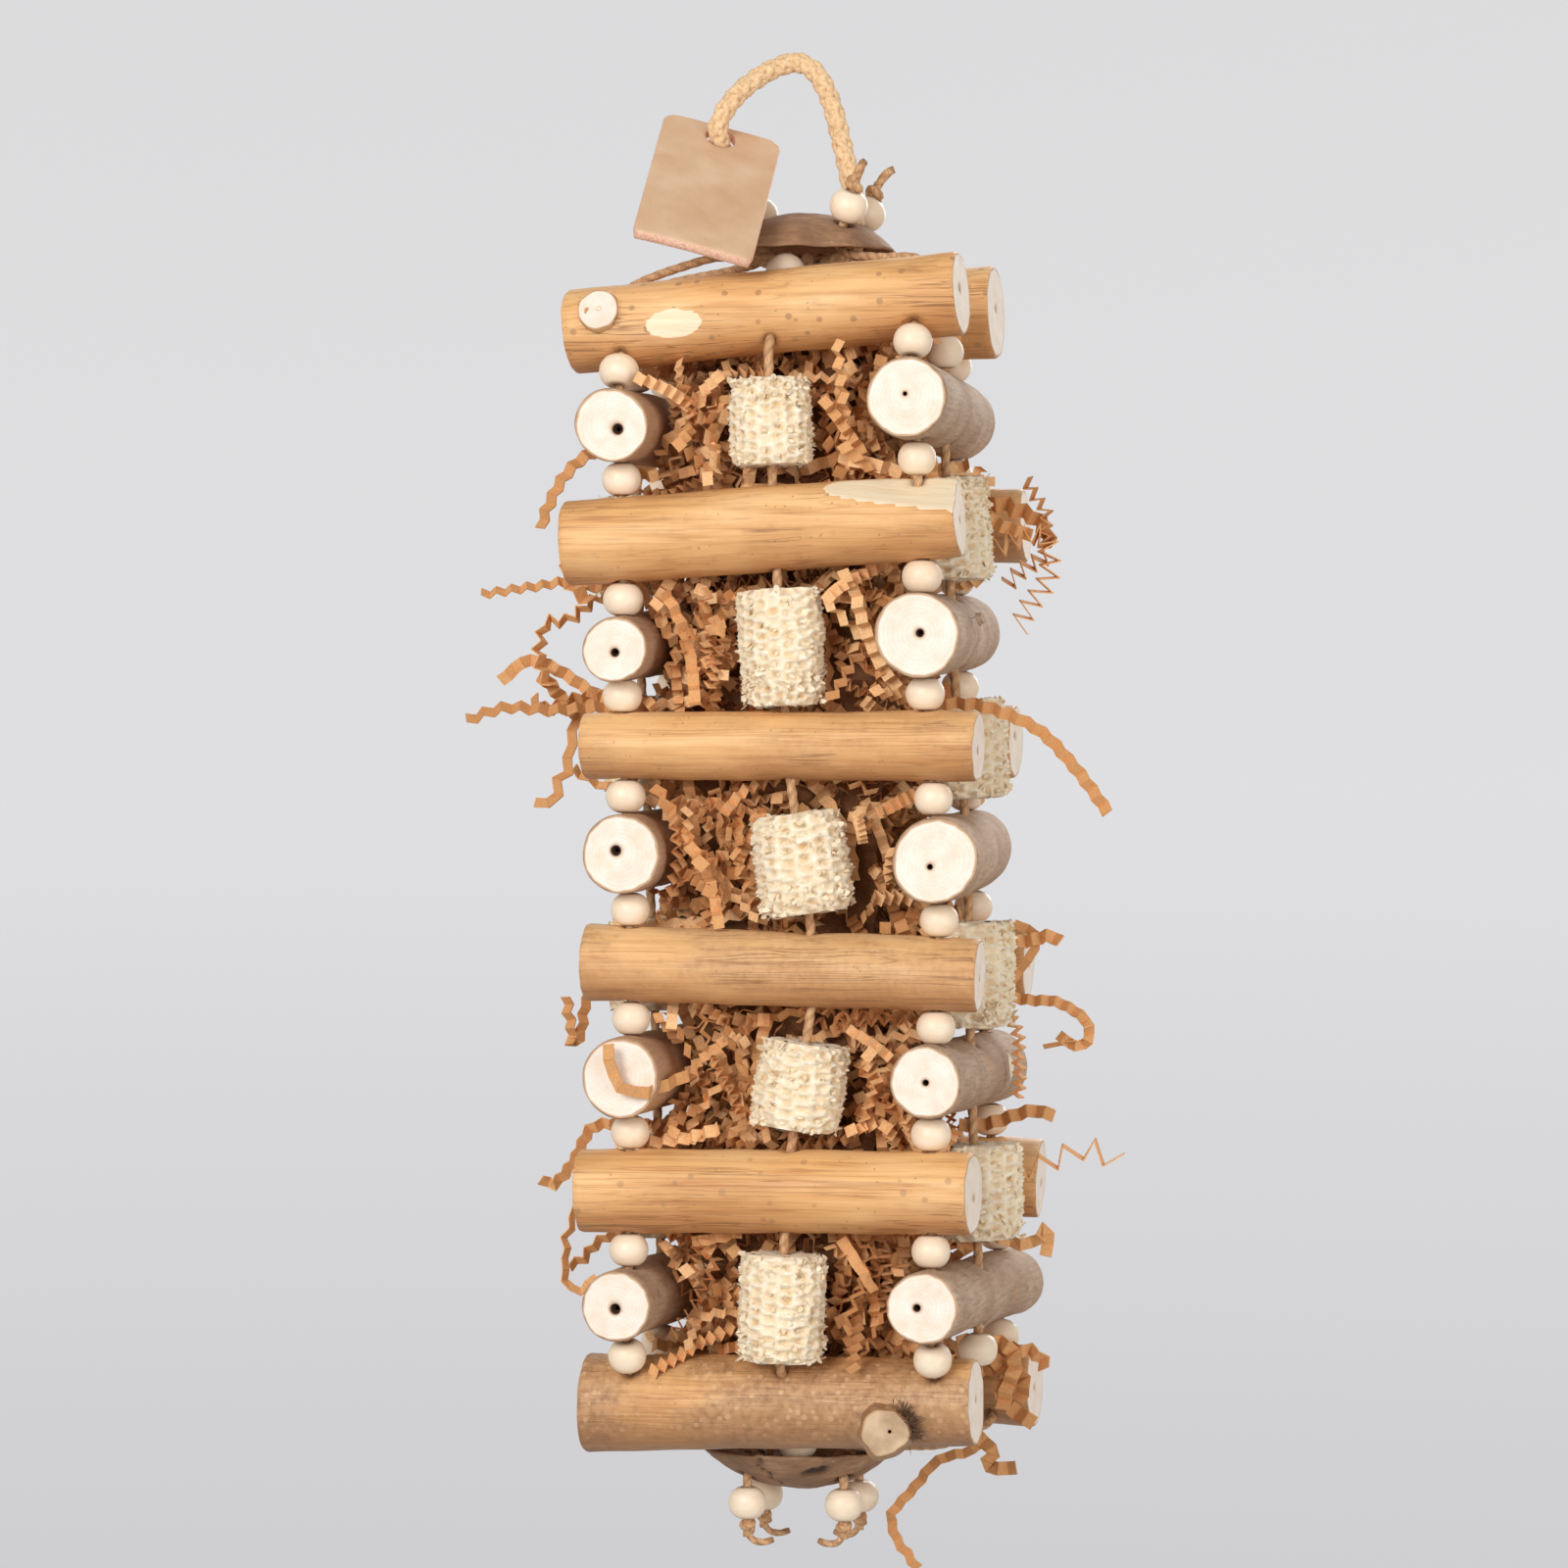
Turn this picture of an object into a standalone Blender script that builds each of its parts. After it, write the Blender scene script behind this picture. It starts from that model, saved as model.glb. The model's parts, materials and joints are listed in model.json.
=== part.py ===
"""Bird foraging toy: a log-cabin tower of natural sticks, strung on twisted paper cord with wooden
beads, with corncob slices in its windows, crinkle paper inside and a shell cap at each end.

Sizes are in millimetres and become metres as each mesh is made. The origin is the point where a hook
bears under the crown of the rope loop. +X runs to the right along the front sticks, the front faces -Y
and +Z is up.
"""
import math

import bpy
from mathutils import Vector
from mathutils.bvhtree import BVHTree

MM = 0.001
UP = Vector((0, 0, 1))

# Tower: eleven layers, sticks along X and along Y by turns
FACE_OFFSET = 46.5          # from the tower's axis to the strings, front and back
STICK_LENGTH = 120
STICK_SIDES = 10
STICK_STATIONS = (0, 0.3, 0.7, 1)
LAYER_GAP = 9.6             # between two layers of sticks, filled by a bead
ROLL_ANGLE = math.radians(40)   # the outermost X layers are drawn inwards by the strings
ROLLED_SEAT = 5.1           # from a rolled stick's surface to its corner bead's centre
CORD_RADIUS = 1.5
BORE_RADIUS = 2.35

# End diameters (left, right) and the middle's X of each stick that lies along X, top to bottom
FRONT_STICKS = [(26.6, 26.0, -4.3), (26.6, 25.6, -3), (20.6, 21.6, 2.8), (23.2, 22.4, 3.2),
                (25.8, 25.2, 1.2), (30, 26, 0)]
BACK_STICKS = [(27, 29, -6), (24, 23, 1), (23, 24, -2), (25.4, 24.2, 2), (25, 26, 5.8), (25, 26, 6)]
# End diameters (front, back) and the middle's Y of each stick that lies along Y, top to bottom
LEFT_STICKS = [(22.6, 22, 0), (19.4, 20.6, -1), (24.4, 23.6, 0.5), (24.6, 23, 0), (22, 22.8, 1)]
RIGHT_STICKS = [(25, 24.2, 0), (25.4, 24, -1), (26.6, 25.4, 0), (22.2, 23, 1), (22.4, 22, 0)]

# X of the string in every layer, and the height of the first Y layer there
STRING_X = {
    "front_left": (-50, -47, -45.5, -46, -46, -44, -43, -43.5, -43.5, -44.5, -45),
    "front_right": (42, 43, 45.5, 46, 47.5, 51, 51, 49, 48, 49, 49),
    "back_left": (-54, -53.5, -53, -52, -50.5, -48.5, -46, -44, -42, -40, -39),
    "back_right": (37, 38, 38.5, 39.5, 41, 43, 46, 48.5, 51, 53, 53),
}
FIRST_SIDE_LAYER_Z = {"front_left": -110.6, "front_right": -104.1, "back_left": -108, "back_right": -105}

# On the top cap: how each end bead leans from square to the dome, and the way its cord's tail points
STRING_LEAN = {"front_left": (0, 0.25, 0), "front_right": (0, 0, 0), "back_left": (0, 0, 0),
               "back_right": (0, 0, 0)}
STRING_TAIL = {"front_left": (-6, -1.5, -1), "front_right": (2.5, -1, 4.5), "back_left": (-4, 2, 4),
               "back_right": (4, 1, 4.5)}

# Wooden bead: rings (distance from its middle along the bore, radius)
BEAD_HALF = 4.6
BEAD_RINGS = ((BEAD_HALF, CORD_RADIUS), (2.1, 5.8), (-2.1, 5.8), (-BEAD_HALF, CORD_RADIUS))
KNOT_RINGS = ((3.0, CORD_RADIUS), (1.6, 3.2), (-1.6, 3.3), (-3.0, CORD_RADIUS))
KNOT_HALF = 3.2
CORD_SIDES = 7

# Shell caps: a turned dome of nut shell, its rim cut flat
CAP_RADIUS = 31
CAP_RISE = 12
CAP_THICKNESS = 4.5
CAP_RIM_WALL = 3
CAP_SEGMENTS = 16
TOP_CAP_Z = -43.5
BOTTOM_CAP_Z = -434
CAP_STRING_HOLE = (15, 12)
CAP_ROPE_HOLE_X = 16
CAP_ROPE_HOLE_RADIUS = 4.2

# Braided rope: route from the left cap hole over the crown to the right cap hole
ROPE_RADIUS = 2.7
ROPE_STEP = 7
ROPE_ROUTE = [(-16, 0, -47.2), (-16.2, 0.3, -42), (-19.2, -1.4, -34), (-23.0, -5.8, -26.6),
              (-24.3, -9, -22), (-24.2, -11.9, -17.6), (-21.4, -11.4, -11.4), (-16, -7.6, -4.6),
              (-8.6, -2.6, 1.0), (-1.5, 0, 2.9), (4.2, 0, -0.8), (8.6, 0, -9.4), (12.0, 0, -22),
              (14.8, 0, -35), (16, 0, -42), (16, 0, -47.2)]
SWING_AXIS_Z = -46

# Leather tag, threaded on the rope's left leg
TAG_HOLE = Vector((-24.3, -9, -22))
TAG_WIDTH = 37
TAG_BELOW_HOLE = 62
TAG_ABOVE_HOLE = 6.8
TAG_THICKNESS = 3.6
TAG_HOLE_RADIUS = 4.7
TAG_CORNER = 4
TAG_DOWN = Vector((0.039, -0.80, -0.60)).normalized()
TAG_ACROSS = Vector((0.937, 0.248, -0.245))

# Corncob slices: diameter and height, top to bottom on each face
FRONT_COBS = [(26, 25), (27, 34), (30, 29), (28, 25), (27.5, 31)]
BACK_COBS = [(27, 28), (29, 30), (28, 27), (26, 31), (28, 29)]
LEFT_COBS = [(28, 29), (27, 31), (29, 27), (28, 30)]
RIGHT_COBS = [(28, 30), (31, 29), (29, 31), (30, 28)]
COB_SIDES = 12
COB_LEVELS = (-0.5, -0.45, -0.23, 0, 0.23, 0.45, 0.5)     # shares of the height, from the middle
COB_BORE_RADIUS = 2.6
COB_SOCKET_DEPTH = 1.6      # kernel sockets stand in staggered rows round the slice
FRONT_CORD_X = (-1, 1, 5, 12, 5, 2.5)
BACK_CORD_X = (2, -3, 1, 6, 2, -2)
FACE_CORD_TILT = math.radians(45)
SIDE_CORD_Y = -3
LEFT_CORD_OUTWARD = 2
RIGHT_CORD_OUTWARD = 4
CORD_KNEE = 0.8             # a face cord bends this far outside a stick
COB_HANG = 0.55             # share of its window that a cob's middle hangs down

# Crinkle paper: a packed column that fills the space between the sticks, and two stray strips
PAPER_TOP_Z = -70
PAPER_BOTTOM_Z = -410
PAPER_REACH = 36            # to each face of the square space inside the sticks
PAPER_CLEARANCE = 1.7
PAPER_RINGS = 40
PAPER_SIDES = 16
PAPER_FOLD = 4.6            # depth of the zigzag folds of the strips at the surface
PAPER_RUFFLE = 1.6
PAPER_PATCH = 4             # corners across a patch of folds that slant one way
STRIP_WIDTH = 3.6
STRIP_THICKNESS = 0.5
STRIP_FOLD = 3.0            # height of one crinkle
STRIP_PITCH = 4.0           # advance from one fold to the next
STRIP_ROOT_GAP = 0.9
RIGHT_STRIP_ROUTE = [(44, -27, -194), (60, -27, -195), (76, -29, -201), (88, -30, -212), (99, -29, -227)]
LEFT_STRIP_ROUTE = [(-42, -27, -194), (-57, -28, -195), (-71, -33, -196), (-84, -35, -195), (-97, -36, -199)]

WOOD_TAN = (0.55, 0.30, 0.12)
WOOD_BARK = (0.36, 0.25, 0.18)
COB_CREAM = (0.86, 0.74, 0.50)
BEAD_CREAM = (0.86, 0.68, 0.47)
KRAFT = (0.42, 0.23, 0.11)
SHELL_BROWN = (0.24, 0.14, 0.09)
JUTE = (0.72, 0.52, 0.31)
LEATHER = (0.80, 0.55, 0.38)


def clear_scene():
    for item in list(bpy.data.objects):
        bpy.data.objects.remove(item)


def make_material(name, colour, roughness):
    material = bpy.data.materials.new(name)
    material.use_nodes = True
    shader = material.node_tree.nodes["Principled BSDF"]
    shader.inputs["Base Color"].default_value = (*colour, 1)
    shader.inputs["Roughness"].default_value = roughness
    shader.inputs["Metallic"].default_value = 0
    return material


def make_node(name, vertices, faces, colour, roughness, origin=Vector((0, 0, 0))):
    """A named object with its origin at a given point and its vertices around it."""
    mesh = bpy.data.meshes.new(name)
    mesh.from_pydata([(Vector(v) - origin) * MM for v in vertices], [], faces)
    mesh.shade_smooth()
    mesh.set_sharp_from_angle(angle=math.radians(40))
    mesh.materials.append(make_material(name, colour, roughness))
    node = bpy.data.objects.new(name, mesh)
    node.location = origin * MM
    bpy.context.scene.collection.objects.link(node)
    return node


def loft(rings, closed=False):
    """Faces through rings of equal length, with end faces unless the rings close on themselves."""
    sides = len(rings[0])
    vertices = [v for ring in rings for v in ring]
    faces = []
    for row in range(len(rings) if closed else len(rings) - 1):
        here = row * sides
        there = (row + 1) % len(rings) * sides
        for k in range(sides):
            after = (k + 1) % sides
            faces.append((here + k, here + after, there + after, there + k))
    if not closed:
        faces.append(tuple(reversed(range(sides))))
        faces.append(tuple(range(len(vertices) - sides, len(vertices))))
    return vertices, faces


def perpendicular(direction):
    """A unit vector square to a direction, as near level as it can be."""
    side = direction.cross(UP)
    if side.length < 0.2:
        side = direction.cross(Vector((0, 1, 0)))
    return side.normalized()


def tube_rings(path, sides):
    """Rings round (point, radius) pairs, carried along without twist."""
    points = [point for point, radius in path]
    rings = []
    side = None
    for i, (point, radius) in enumerate(path):
        tangent = (points[min(i + 1, len(points) - 1)] - points[max(i - 1, 0)]).normalized()
        side = perpendicular(tangent) if side is None else side - tangent * side.dot(tangent)
        side.normalize()
        across = tangent.cross(side)
        turns = [2 * math.pi * k / sides for k in range(sides)]
        rings.append([point + (side * math.cos(a) + across * math.sin(a)) * radius for a in turns])
    return rings


def tube_node(name, path, colour, roughness, sides=CORD_SIDES, origin=Vector((0, 0, 0))):
    vertices, faces = loft(tube_rings(path, sides))
    return make_node(name, vertices, faces, colour, roughness, origin)


def cut(node, cutters):
    """Bore a node with closed cutters that are kept as one hidden wire object."""
    vertices = []
    faces = []
    for cutter_vertices, cutter_faces in cutters:
        base = len(vertices)
        vertices += cutter_vertices
        faces += [tuple(index + base for index in face) for face in cutter_faces]
    mesh = bpy.data.meshes.new(node.name + "_bores")
    mesh.from_pydata([Vector(v) * MM for v in vertices], [], faces)
    cutter = bpy.data.objects.new(node.name + "_bores", mesh)
    cutter.hide_render = True
    cutter.display_type = "WIRE"
    bpy.context.scene.collection.objects.link(cutter)
    modifier = node.modifiers.new("Bores", "BOOLEAN")
    modifier.operation = "DIFFERENCE"
    modifier.object = cutter


def bore(middle, direction, half_length, radius=BORE_RADIUS, sides=6):
    direction = direction.normalized()
    ends = [(middle - direction * half_length, radius), (middle + direction * half_length, radius)]
    return loft(tube_rings(ends, sides))


def ripple(*seeds):
    """A repeatable value from -1 to 1 for the small irregularities of natural pieces."""
    total = sum((k + 1) * 12.9898 * seed for k, seed in enumerate(seeds))
    return 2 * ((math.sin(total) * 43758.5453) % 1) - 1


def smooth_route(route, step):
    """Points about one step apart on a smooth curve through a route's own points."""
    points = [Vector(p) for p in route]
    ends = [2 * points[0] - points[1]] + points + [2 * points[-1] - points[-2]]
    curve = []
    for before, start, end, after in zip(ends, ends[1:], ends[2:], ends[3:]):
        count = max(1, round((end - start).length / step))
        for k in range(count):
            t = k / count
            curve.append(0.5 * (2 * start + (end - before) * t
                                + (2 * before - 5 * start + 4 * end - after) * t * t
                                + (3 * start - before - 3 * end + after) * t ** 3))
    return curve + [points[-1]]


class Stick:
    """The axis and taper of one stick, from its two string holes."""

    def __init__(self, name, first_hole, second_hole, diameters, middle, along):
        self.name = name
        axis = second_hole - first_hole
        rate = axis[along] / axis.length
        centre = first_hole + axis.normalized() * (middle - first_hole[along]) / rate
        self.direction = axis.normalized()
        self.start = centre - self.direction * STICK_LENGTH / 2
        self.end = centre + self.direction * STICK_LENGTH / 2
        self.radii = (diameters[0] / 2, diameters[1] / 2)
        self.along = along

    def share(self, value):
        return (value - self.start[self.along]) / (self.end[self.along] - self.start[self.along])

    def at(self, value):
        return self.start.lerp(self.end, self.share(value))

    def radius_at(self, value):
        return self.radii[0] + (self.radii[1] - self.radii[0]) * self.share(value)


def stack_corner(corner, x_sticks, y_sticks, x_end, y_end):
    """String holes and bead middles of one corner, worked down from the first Y layer."""
    y = -FACE_OFFSET if corner.startswith("front") else FACE_OFFSET
    xs = STRING_X[corner]
    radii = []
    for layer in range(11):
        sticks, end = (y_sticks, y_end) if layer % 2 else (x_sticks, x_end)
        radii.append(sticks[layer // 2][end] / 2)
    heights = [0] * 11
    heights[1] = FIRST_SIDE_LAYER_Z[corner]
    for layer in range(2, 10):
        heights[layer] = heights[layer - 1] - radii[layer - 1] - LAYER_GAP - radii[layer]
    holes = [Vector((x, y, z)) for x, z in zip(xs, heights)]
    inward = Vector((0, -math.copysign(1, y), 0))
    beads = [holes[1] + UP * (radii[1] + ROLLED_SEAT)]
    for layer in range(1, 9):
        low = holes[layer] - UP * radii[layer]
        high = holes[layer + 1] + UP * radii[layer + 1]
        beads.append((low + high) / 2)
    beads.append(holes[9] - UP * (radii[9] + ROLLED_SEAT))
    for layer, bead, sign in ((0, 0, 1), (10, 9, -1)):
        lean = inward * math.sin(ROLL_ANGLE) + UP * sign * math.cos(ROLL_ANGLE)
        holes[layer] = beads[bead] + lean * (radii[layer] + ROLLED_SEAT)
        holes[layer].x = xs[layer]
    axes = [UP] * 10
    for bead, sign in ((0, 1), (9, -1)):
        half_lean = inward * sign * math.sin(ROLL_ANGLE / 2) + UP * math.cos(ROLL_ANGLE / 2)
        axes[bead] = half_lean
    return holes, beads, axes, radii


def string_runs(holes, beads, axes):
    """Where the cord runs in each layer: a point on it and its direction, upwards."""
    above = [middle + axis * BEAD_HALF for middle, axis in zip(beads, axes)]
    below = [middle - axis * BEAD_HALF for middle, axis in zip(beads, axes)]
    runs = [(holes[0], (holes[0] - above[0]).normalized())]
    for layer in range(1, 10):
        high, low = below[layer - 1], above[layer]
        runs.append(((high + low) / 2, (high - low).normalized()))
    runs.append((holes[10], (below[9] - holes[10]).normalized()))
    return runs


CORNER_STICKS = {
    "front_left": (FRONT_STICKS, LEFT_STICKS, 0, 0),
    "front_right": (FRONT_STICKS, RIGHT_STICKS, 1, 0),
    "back_left": (BACK_STICKS, LEFT_STICKS, 0, 1),
    "back_right": (BACK_STICKS, RIGHT_STICKS, 1, 1),
}


def lay_out_sticks(corners):
    """Every stick's axis, keyed by its name."""
    sticks = {}
    for face, sizes in (("front", FRONT_STICKS), ("back", BACK_STICKS)):
        for k, (left, right, middle) in enumerate(sizes):
            name = f"{face}_stick_{k + 1}"
            holes = [corners[f"{face}_{side}"][0][2 * k] for side in ("left", "right")]
            sticks[name] = Stick(name, *holes, (left, right), middle, 0)
    for face, sizes in (("left", LEFT_STICKS), ("right", RIGHT_STICKS)):
        for k, (front, back, middle) in enumerate(sizes):
            name = f"{face}_stick_{k + 1}"
            holes = [corners[f"{side}_{face}"][0][2 * k + 1] for side in ("front", "back")]
            sticks[name] = Stick(name, *holes, (front, back), middle, 1)
    return sticks


def build_stick(stick, seed, bores):
    """A tapered, slightly bowed and oval length of branch with sawn ends, bored for its cords."""
    sideways = perpendicular(stick.direction)
    upright = sideways.cross(stick.direction)
    if upright.z < 0:
        upright = -upright
    bow = 1.1 * ripple(seed, 1)
    flat_turn = math.pi * ripple(seed, 2)
    rings = []
    for t in STICK_STATIONS:
        centre = stick.start.lerp(stick.end, t) + sideways * bow * math.sin(math.pi * t)
        radius = stick.radii[0] + (stick.radii[1] - stick.radii[0]) * t
        saw_lean = 0.07 * ripple(seed, 3 + t) if t in (0, 1) else 0
        ring = []
        for k in range(STICK_SIDES):
            turn = 2 * math.pi * k / STICK_SIDES
            dent = 0.02 * (1 - math.cos(2 * (turn - flat_turn))) + 0.012 * (1 + ripple(seed, k, t))
            reach = radius * (1 - dent)
            spoke = sideways * math.cos(turn) + upright * math.sin(turn)
            ring.append(centre + spoke * reach + stick.direction * saw_lean * reach * math.cos(turn))
        rings.append(ring)
    vertices, faces = loft(rings)
    colour = WOOD_TAN if stick.along == 0 else WOOD_BARK
    node = make_node(stick.name, vertices, faces, colour, 0.75)
    cut(node, bores)
    return node


def add_stub(node, root, direction, radius, length):
    """A sawn side branch that grows out of a stick, joined to it as one body."""
    rings = [(root - direction * radius, radius * 1.25), (root + direction * length * 0.3, radius * 1.1),
             (root + direction * length, radius * 0.85)]
    vertices, faces = loft(tube_rings(rings, 8))
    mesh = bpy.data.meshes.new(node.name + "_stub")
    mesh.from_pydata([v * MM for v in vertices], [], faces)
    stub = bpy.data.objects.new(node.name + "_stub", mesh)
    stub.hide_render = True
    stub.display_type = "WIRE"
    bpy.context.scene.collection.objects.link(stub)
    modifier = node.modifiers.new("Stub", "BOOLEAN")
    modifier.operation = "UNION"
    modifier.object = stub


def shave_facet(node, stick, at_value, outward, depth, slope):
    """A flat knife cut that runs out towards the near end of a stick."""
    radius = stick.radius_at(at_value)
    outward = outward.normalized()
    along = stick.direction
    normal = (outward + along * slope).normalized()
    across = normal.cross(along).normalized()
    run = normal.cross(across).normalized()
    foot = stick.at(at_value) + outward * (radius - depth)
    size = 45
    rings = []
    for lift in (0, size):
        rings.append([foot + normal * lift + across * a * size + run * b * size
                      for a, b in ((-1, -1), (1, -1), (1, 1), (-1, 1))])
    cut(node, [loft(rings)])


def bead_path(middle, axis, rings=BEAD_RINGS):
    axis = axis.normalized()
    return [(middle + axis * offset, radius) for offset, radius in rings]


def dome_frame(x, y, top_z, sign):
    """Point on a cap's outer face above or below (x, y), and its outward normal there."""
    sphere = (CAP_RADIUS ** 2 + CAP_RISE ** 2) / (2 * CAP_RISE)
    centre = Vector((0, 0, top_z - sign * sphere))
    point = Vector((x, y, centre.z + sign * math.sqrt(sphere ** 2 - x * x - y * y)))
    return point, (point - centre).normalized()


def corner_sign(corner):
    return (-1 if corner.endswith("left") else 1, -1 if corner.startswith("front") else 1)


def cap_hole(corner, top_z, sign):
    across, deep = corner_sign(corner)
    return dome_frame(across * CAP_STRING_HOLE[0], deep * CAP_STRING_HOLE[1], top_z, sign)


def string_run_to_cap(corner, hole, through, radius, top_z, sign):
    """Cord from a rolled stick's inner side, under the cap's rim and up its hole to the outer face."""
    across, deep = corner_sign(corner)
    point, normal = cap_hole(corner, top_z, sign)
    inside = point - normal * (CAP_THICKNESS + 2.5)
    rim_z = top_z - sign * (CAP_RISE + 3.4)
    under_rim = Vector((across * 27, deep * 19.5, rim_z))
    return [point - normal * 0.3, inside, inside.lerp(under_rim, 0.35) - UP * sign * 1.6, under_rim,
            hole + through * (radius + 3.5)]


def build_corner_string(corner, holes, beads, axes, radii):
    """Cord through one corner of the tower with its ten beads, end bead, knot and top tail."""
    point, normal = cap_hole(corner, TOP_CAP_Z, 1)
    axis = (normal + Vector(STRING_LEAN[corner])).normalized()
    bead = point + normal * 0.6 + axis * (BEAD_HALF + 0.4)
    knot = bead + axis * (BEAD_HALF + KNOT_HALF)
    tail = Vector(STRING_TAIL[corner])
    path = [(knot + axis * 3.6 + tail, 0.9), (knot + axis * 4.2 + tail * 0.4, 1.3)]
    path += bead_path(knot, axis, KNOT_RINGS) + bead_path(bead, axis)
    runs = string_runs(holes, beads, axes)
    run = string_run_to_cap(corner, holes[0], runs[0][1], radii[0], TOP_CAP_Z, 1)
    path += [(p, CORD_RADIUS) for p in run]
    for middle, axis in zip(beads, axes):
        path += bead_path(middle, axis)
    run = string_run_to_cap(corner, holes[10], -runs[10][1], radii[10], BOTTOM_CAP_Z, -1)
    point, normal = cap_hole(corner, BOTTOM_CAP_Z, -1)
    run[0] = point - normal * 2.4
    path += [(p, CORD_RADIUS) for p in reversed(run)]
    tube_node(f"corner_string_{corner}", path, BEAD_CREAM, 0.6)


def build_bottom_tail(corner):
    """End bead, overhand knot and tail that swing under the bottom cap."""
    across, deep = corner_sign(corner)
    point, normal = cap_hole(corner, BOTTOM_CAP_Z, -1)
    middle = point - UP * 8
    knot = middle - UP * (BEAD_HALF + KNOT_HALF)
    path = [(point + UP * 1.2, CORD_RADIUS)] + bead_path(middle, UP) + bead_path(knot, UP, KNOT_RINGS)
    path += [(knot + Vector((across * 1.4, 0, -4.6)), 1.4), (knot + Vector((across * 5.5, 0, -6.6)), 1.0)]
    tube_node(f"bottom_tail_{corner}", path, BEAD_CREAM, 0.6, origin=point)
    return point


def build_cap(name, top_z, sign, holes):
    """A turned dome, hollow below, with its rim cut flat and its string holes drilled square to it."""
    inner_rise = CAP_RISE - CAP_THICKNESS
    inner_radius = CAP_RADIUS - CAP_RIM_WALL
    profile = []
    for radius, rise, drop in ((CAP_RADIUS, CAP_RISE, 0), (inner_radius, inner_rise, CAP_THICKNESS)):
        sphere = (radius ** 2 + rise ** 2) / (2 * rise)
        arc = []
        for share in (0.08, 0.45, 0.78, 1):
            reach = radius * share
            arc.append((reach, -drop - sphere + math.sqrt(sphere ** 2 - reach ** 2)))
        profile.append(arc)
    outer, inner = profile
    outline = inner + outer[::-1] if sign > 0 else outer + inner[::-1]
    rings = []
    for reach, height in outline:
        ring = []
        for k in range(CAP_SEGMENTS):
            turn = 2 * math.pi * k / CAP_SEGMENTS
            wobble = 1 - 0.05 * (reach / CAP_RADIUS) ** 3 * (1 + math.sin(3 * turn + 1) * math.cos(2 * turn))
            flat = reach * wobble
            ring.append(Vector((flat * math.cos(turn), flat * math.sin(turn), top_z + sign * height)))
        rings.append(ring)
    vertices, faces = loft(rings)
    node = make_node(name, vertices, faces, SHELL_BROWN, 0.7)
    cut(node, holes)


def cob_rings(middle, axis, diameter, height, seed):
    """Socket rows round a slice: outer rings with every second corner sunk, then the bore."""
    side = perpendicular(axis)
    across = axis.cross(side)
    rings = []
    for row, level in enumerate(COB_LEVELS):
        edge = row in (0, len(COB_LEVELS) - 1)
        ring = []
        for k in range(COB_SIDES):
            turn = 2 * math.pi * k / COB_SIDES
            dent = COB_SOCKET_DEPTH * ((k + row) % 2) + 0.3 * (1 + ripple(seed, k, row))
            reach = diameter / 2 * (0.9 if edge else 1 - 0.03 * abs(level)) - dent
            lift = level * height + (0.5 * ripple(seed, k) if edge else 0)
            ring.append(middle + (side * math.cos(turn) + across * math.sin(turn)) * reach + axis * lift)
        rings.append(ring)
    for level in (0.5, -0.5):
        turns = [2 * math.pi * k / COB_SIDES for k in range(COB_SIDES)]
        rings.append([middle + (side * math.cos(a) + across * math.sin(a)) * COB_BORE_RADIUS
                      + axis * level * height for a in turns])
    return rings


def build_cobs(face, sizes, spans):
    """Slices strung on one face cord, each with its origin on the cord."""
    slices = []
    for k, ((diameter, height), (high, low)) in enumerate(zip(sizes, spans)):
        name = f"{face}_cob_{k + 1}"
        axis = (high - low).normalized()
        middle = high.lerp(low, COB_HANG)
        vertices, faces = loft(cob_rings(middle, axis, diameter, height, k + len(face)), closed=True)
        make_node(name, vertices, faces, COB_CREAM, 0.85, origin=middle)
        slices.append((name, middle, axis, diameter / 2, height))
    return slices


def lay_out_x_face_cord(face, sticks, xs):
    """Hole middles of a front or back cord, its run through each stick and its knees between them."""
    deep = -1 if face == "front" else 1
    inward = Vector((0, -deep, 0))
    y = deep * FACE_OFFSET
    chain = [sticks[f"{face}_stick_{k + 1}"] for k in range(6)]
    middles = [stick.at(x) for stick, x in zip(chain, xs)]
    bends = []
    leans = []
    for end, sign in ((0, 1), (5, -1)):
        lean = inward * math.sin(FACE_CORD_TILT) + UP * sign * math.cos(FACE_CORD_TILT)
        reach = (middles[end] - Vector((0, y, 0))).y * -deep / math.sin(FACE_CORD_TILT)
        bends.append(middles[end] - lean * reach)
        leans.append(lean)
    line = [bends[0]] + middles[1:5] + [bends[1]]
    runs = [leans[0]]
    knees = [bends[0]]
    for k in range(1, 5):
        run = (line[k - 1] - line[k + 1]).normalized()
        reach = run * (chain[k].radius_at(xs[k]) + CORD_KNEE)
        knees += [middles[k] + reach, middles[k] - reach]
        runs.append(run)
    return middles, runs + [leans[1]], knees + [bends[1]]


def build_x_face_cord(face, sticks, xs, middles, runs, knees):
    """Cord down the middle of the front or back, with a stopper bead inside each rolled stick."""
    chain = [sticks[f"{face}_stick_{k}"] for k in (1, 6)]
    path = []
    for stick, x, middle, lean in zip(chain, (xs[0], xs[5]), (middles[0], middles[5]), (runs[0], runs[5])):
        stopper = middle + lean * (stick.radius_at(x) + BEAD_HALF + 0.5)
        end = [(stopper + lean * (BEAD_HALF + 3), 1.1)] + bead_path(stopper, lean)
        if not path:
            path = end + [(point, CORD_RADIUS) for point in knees]
        else:
            path += list(reversed(end))
    tube_node(f"face_cord_{face}", path, BEAD_CREAM, 0.6)


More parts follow.
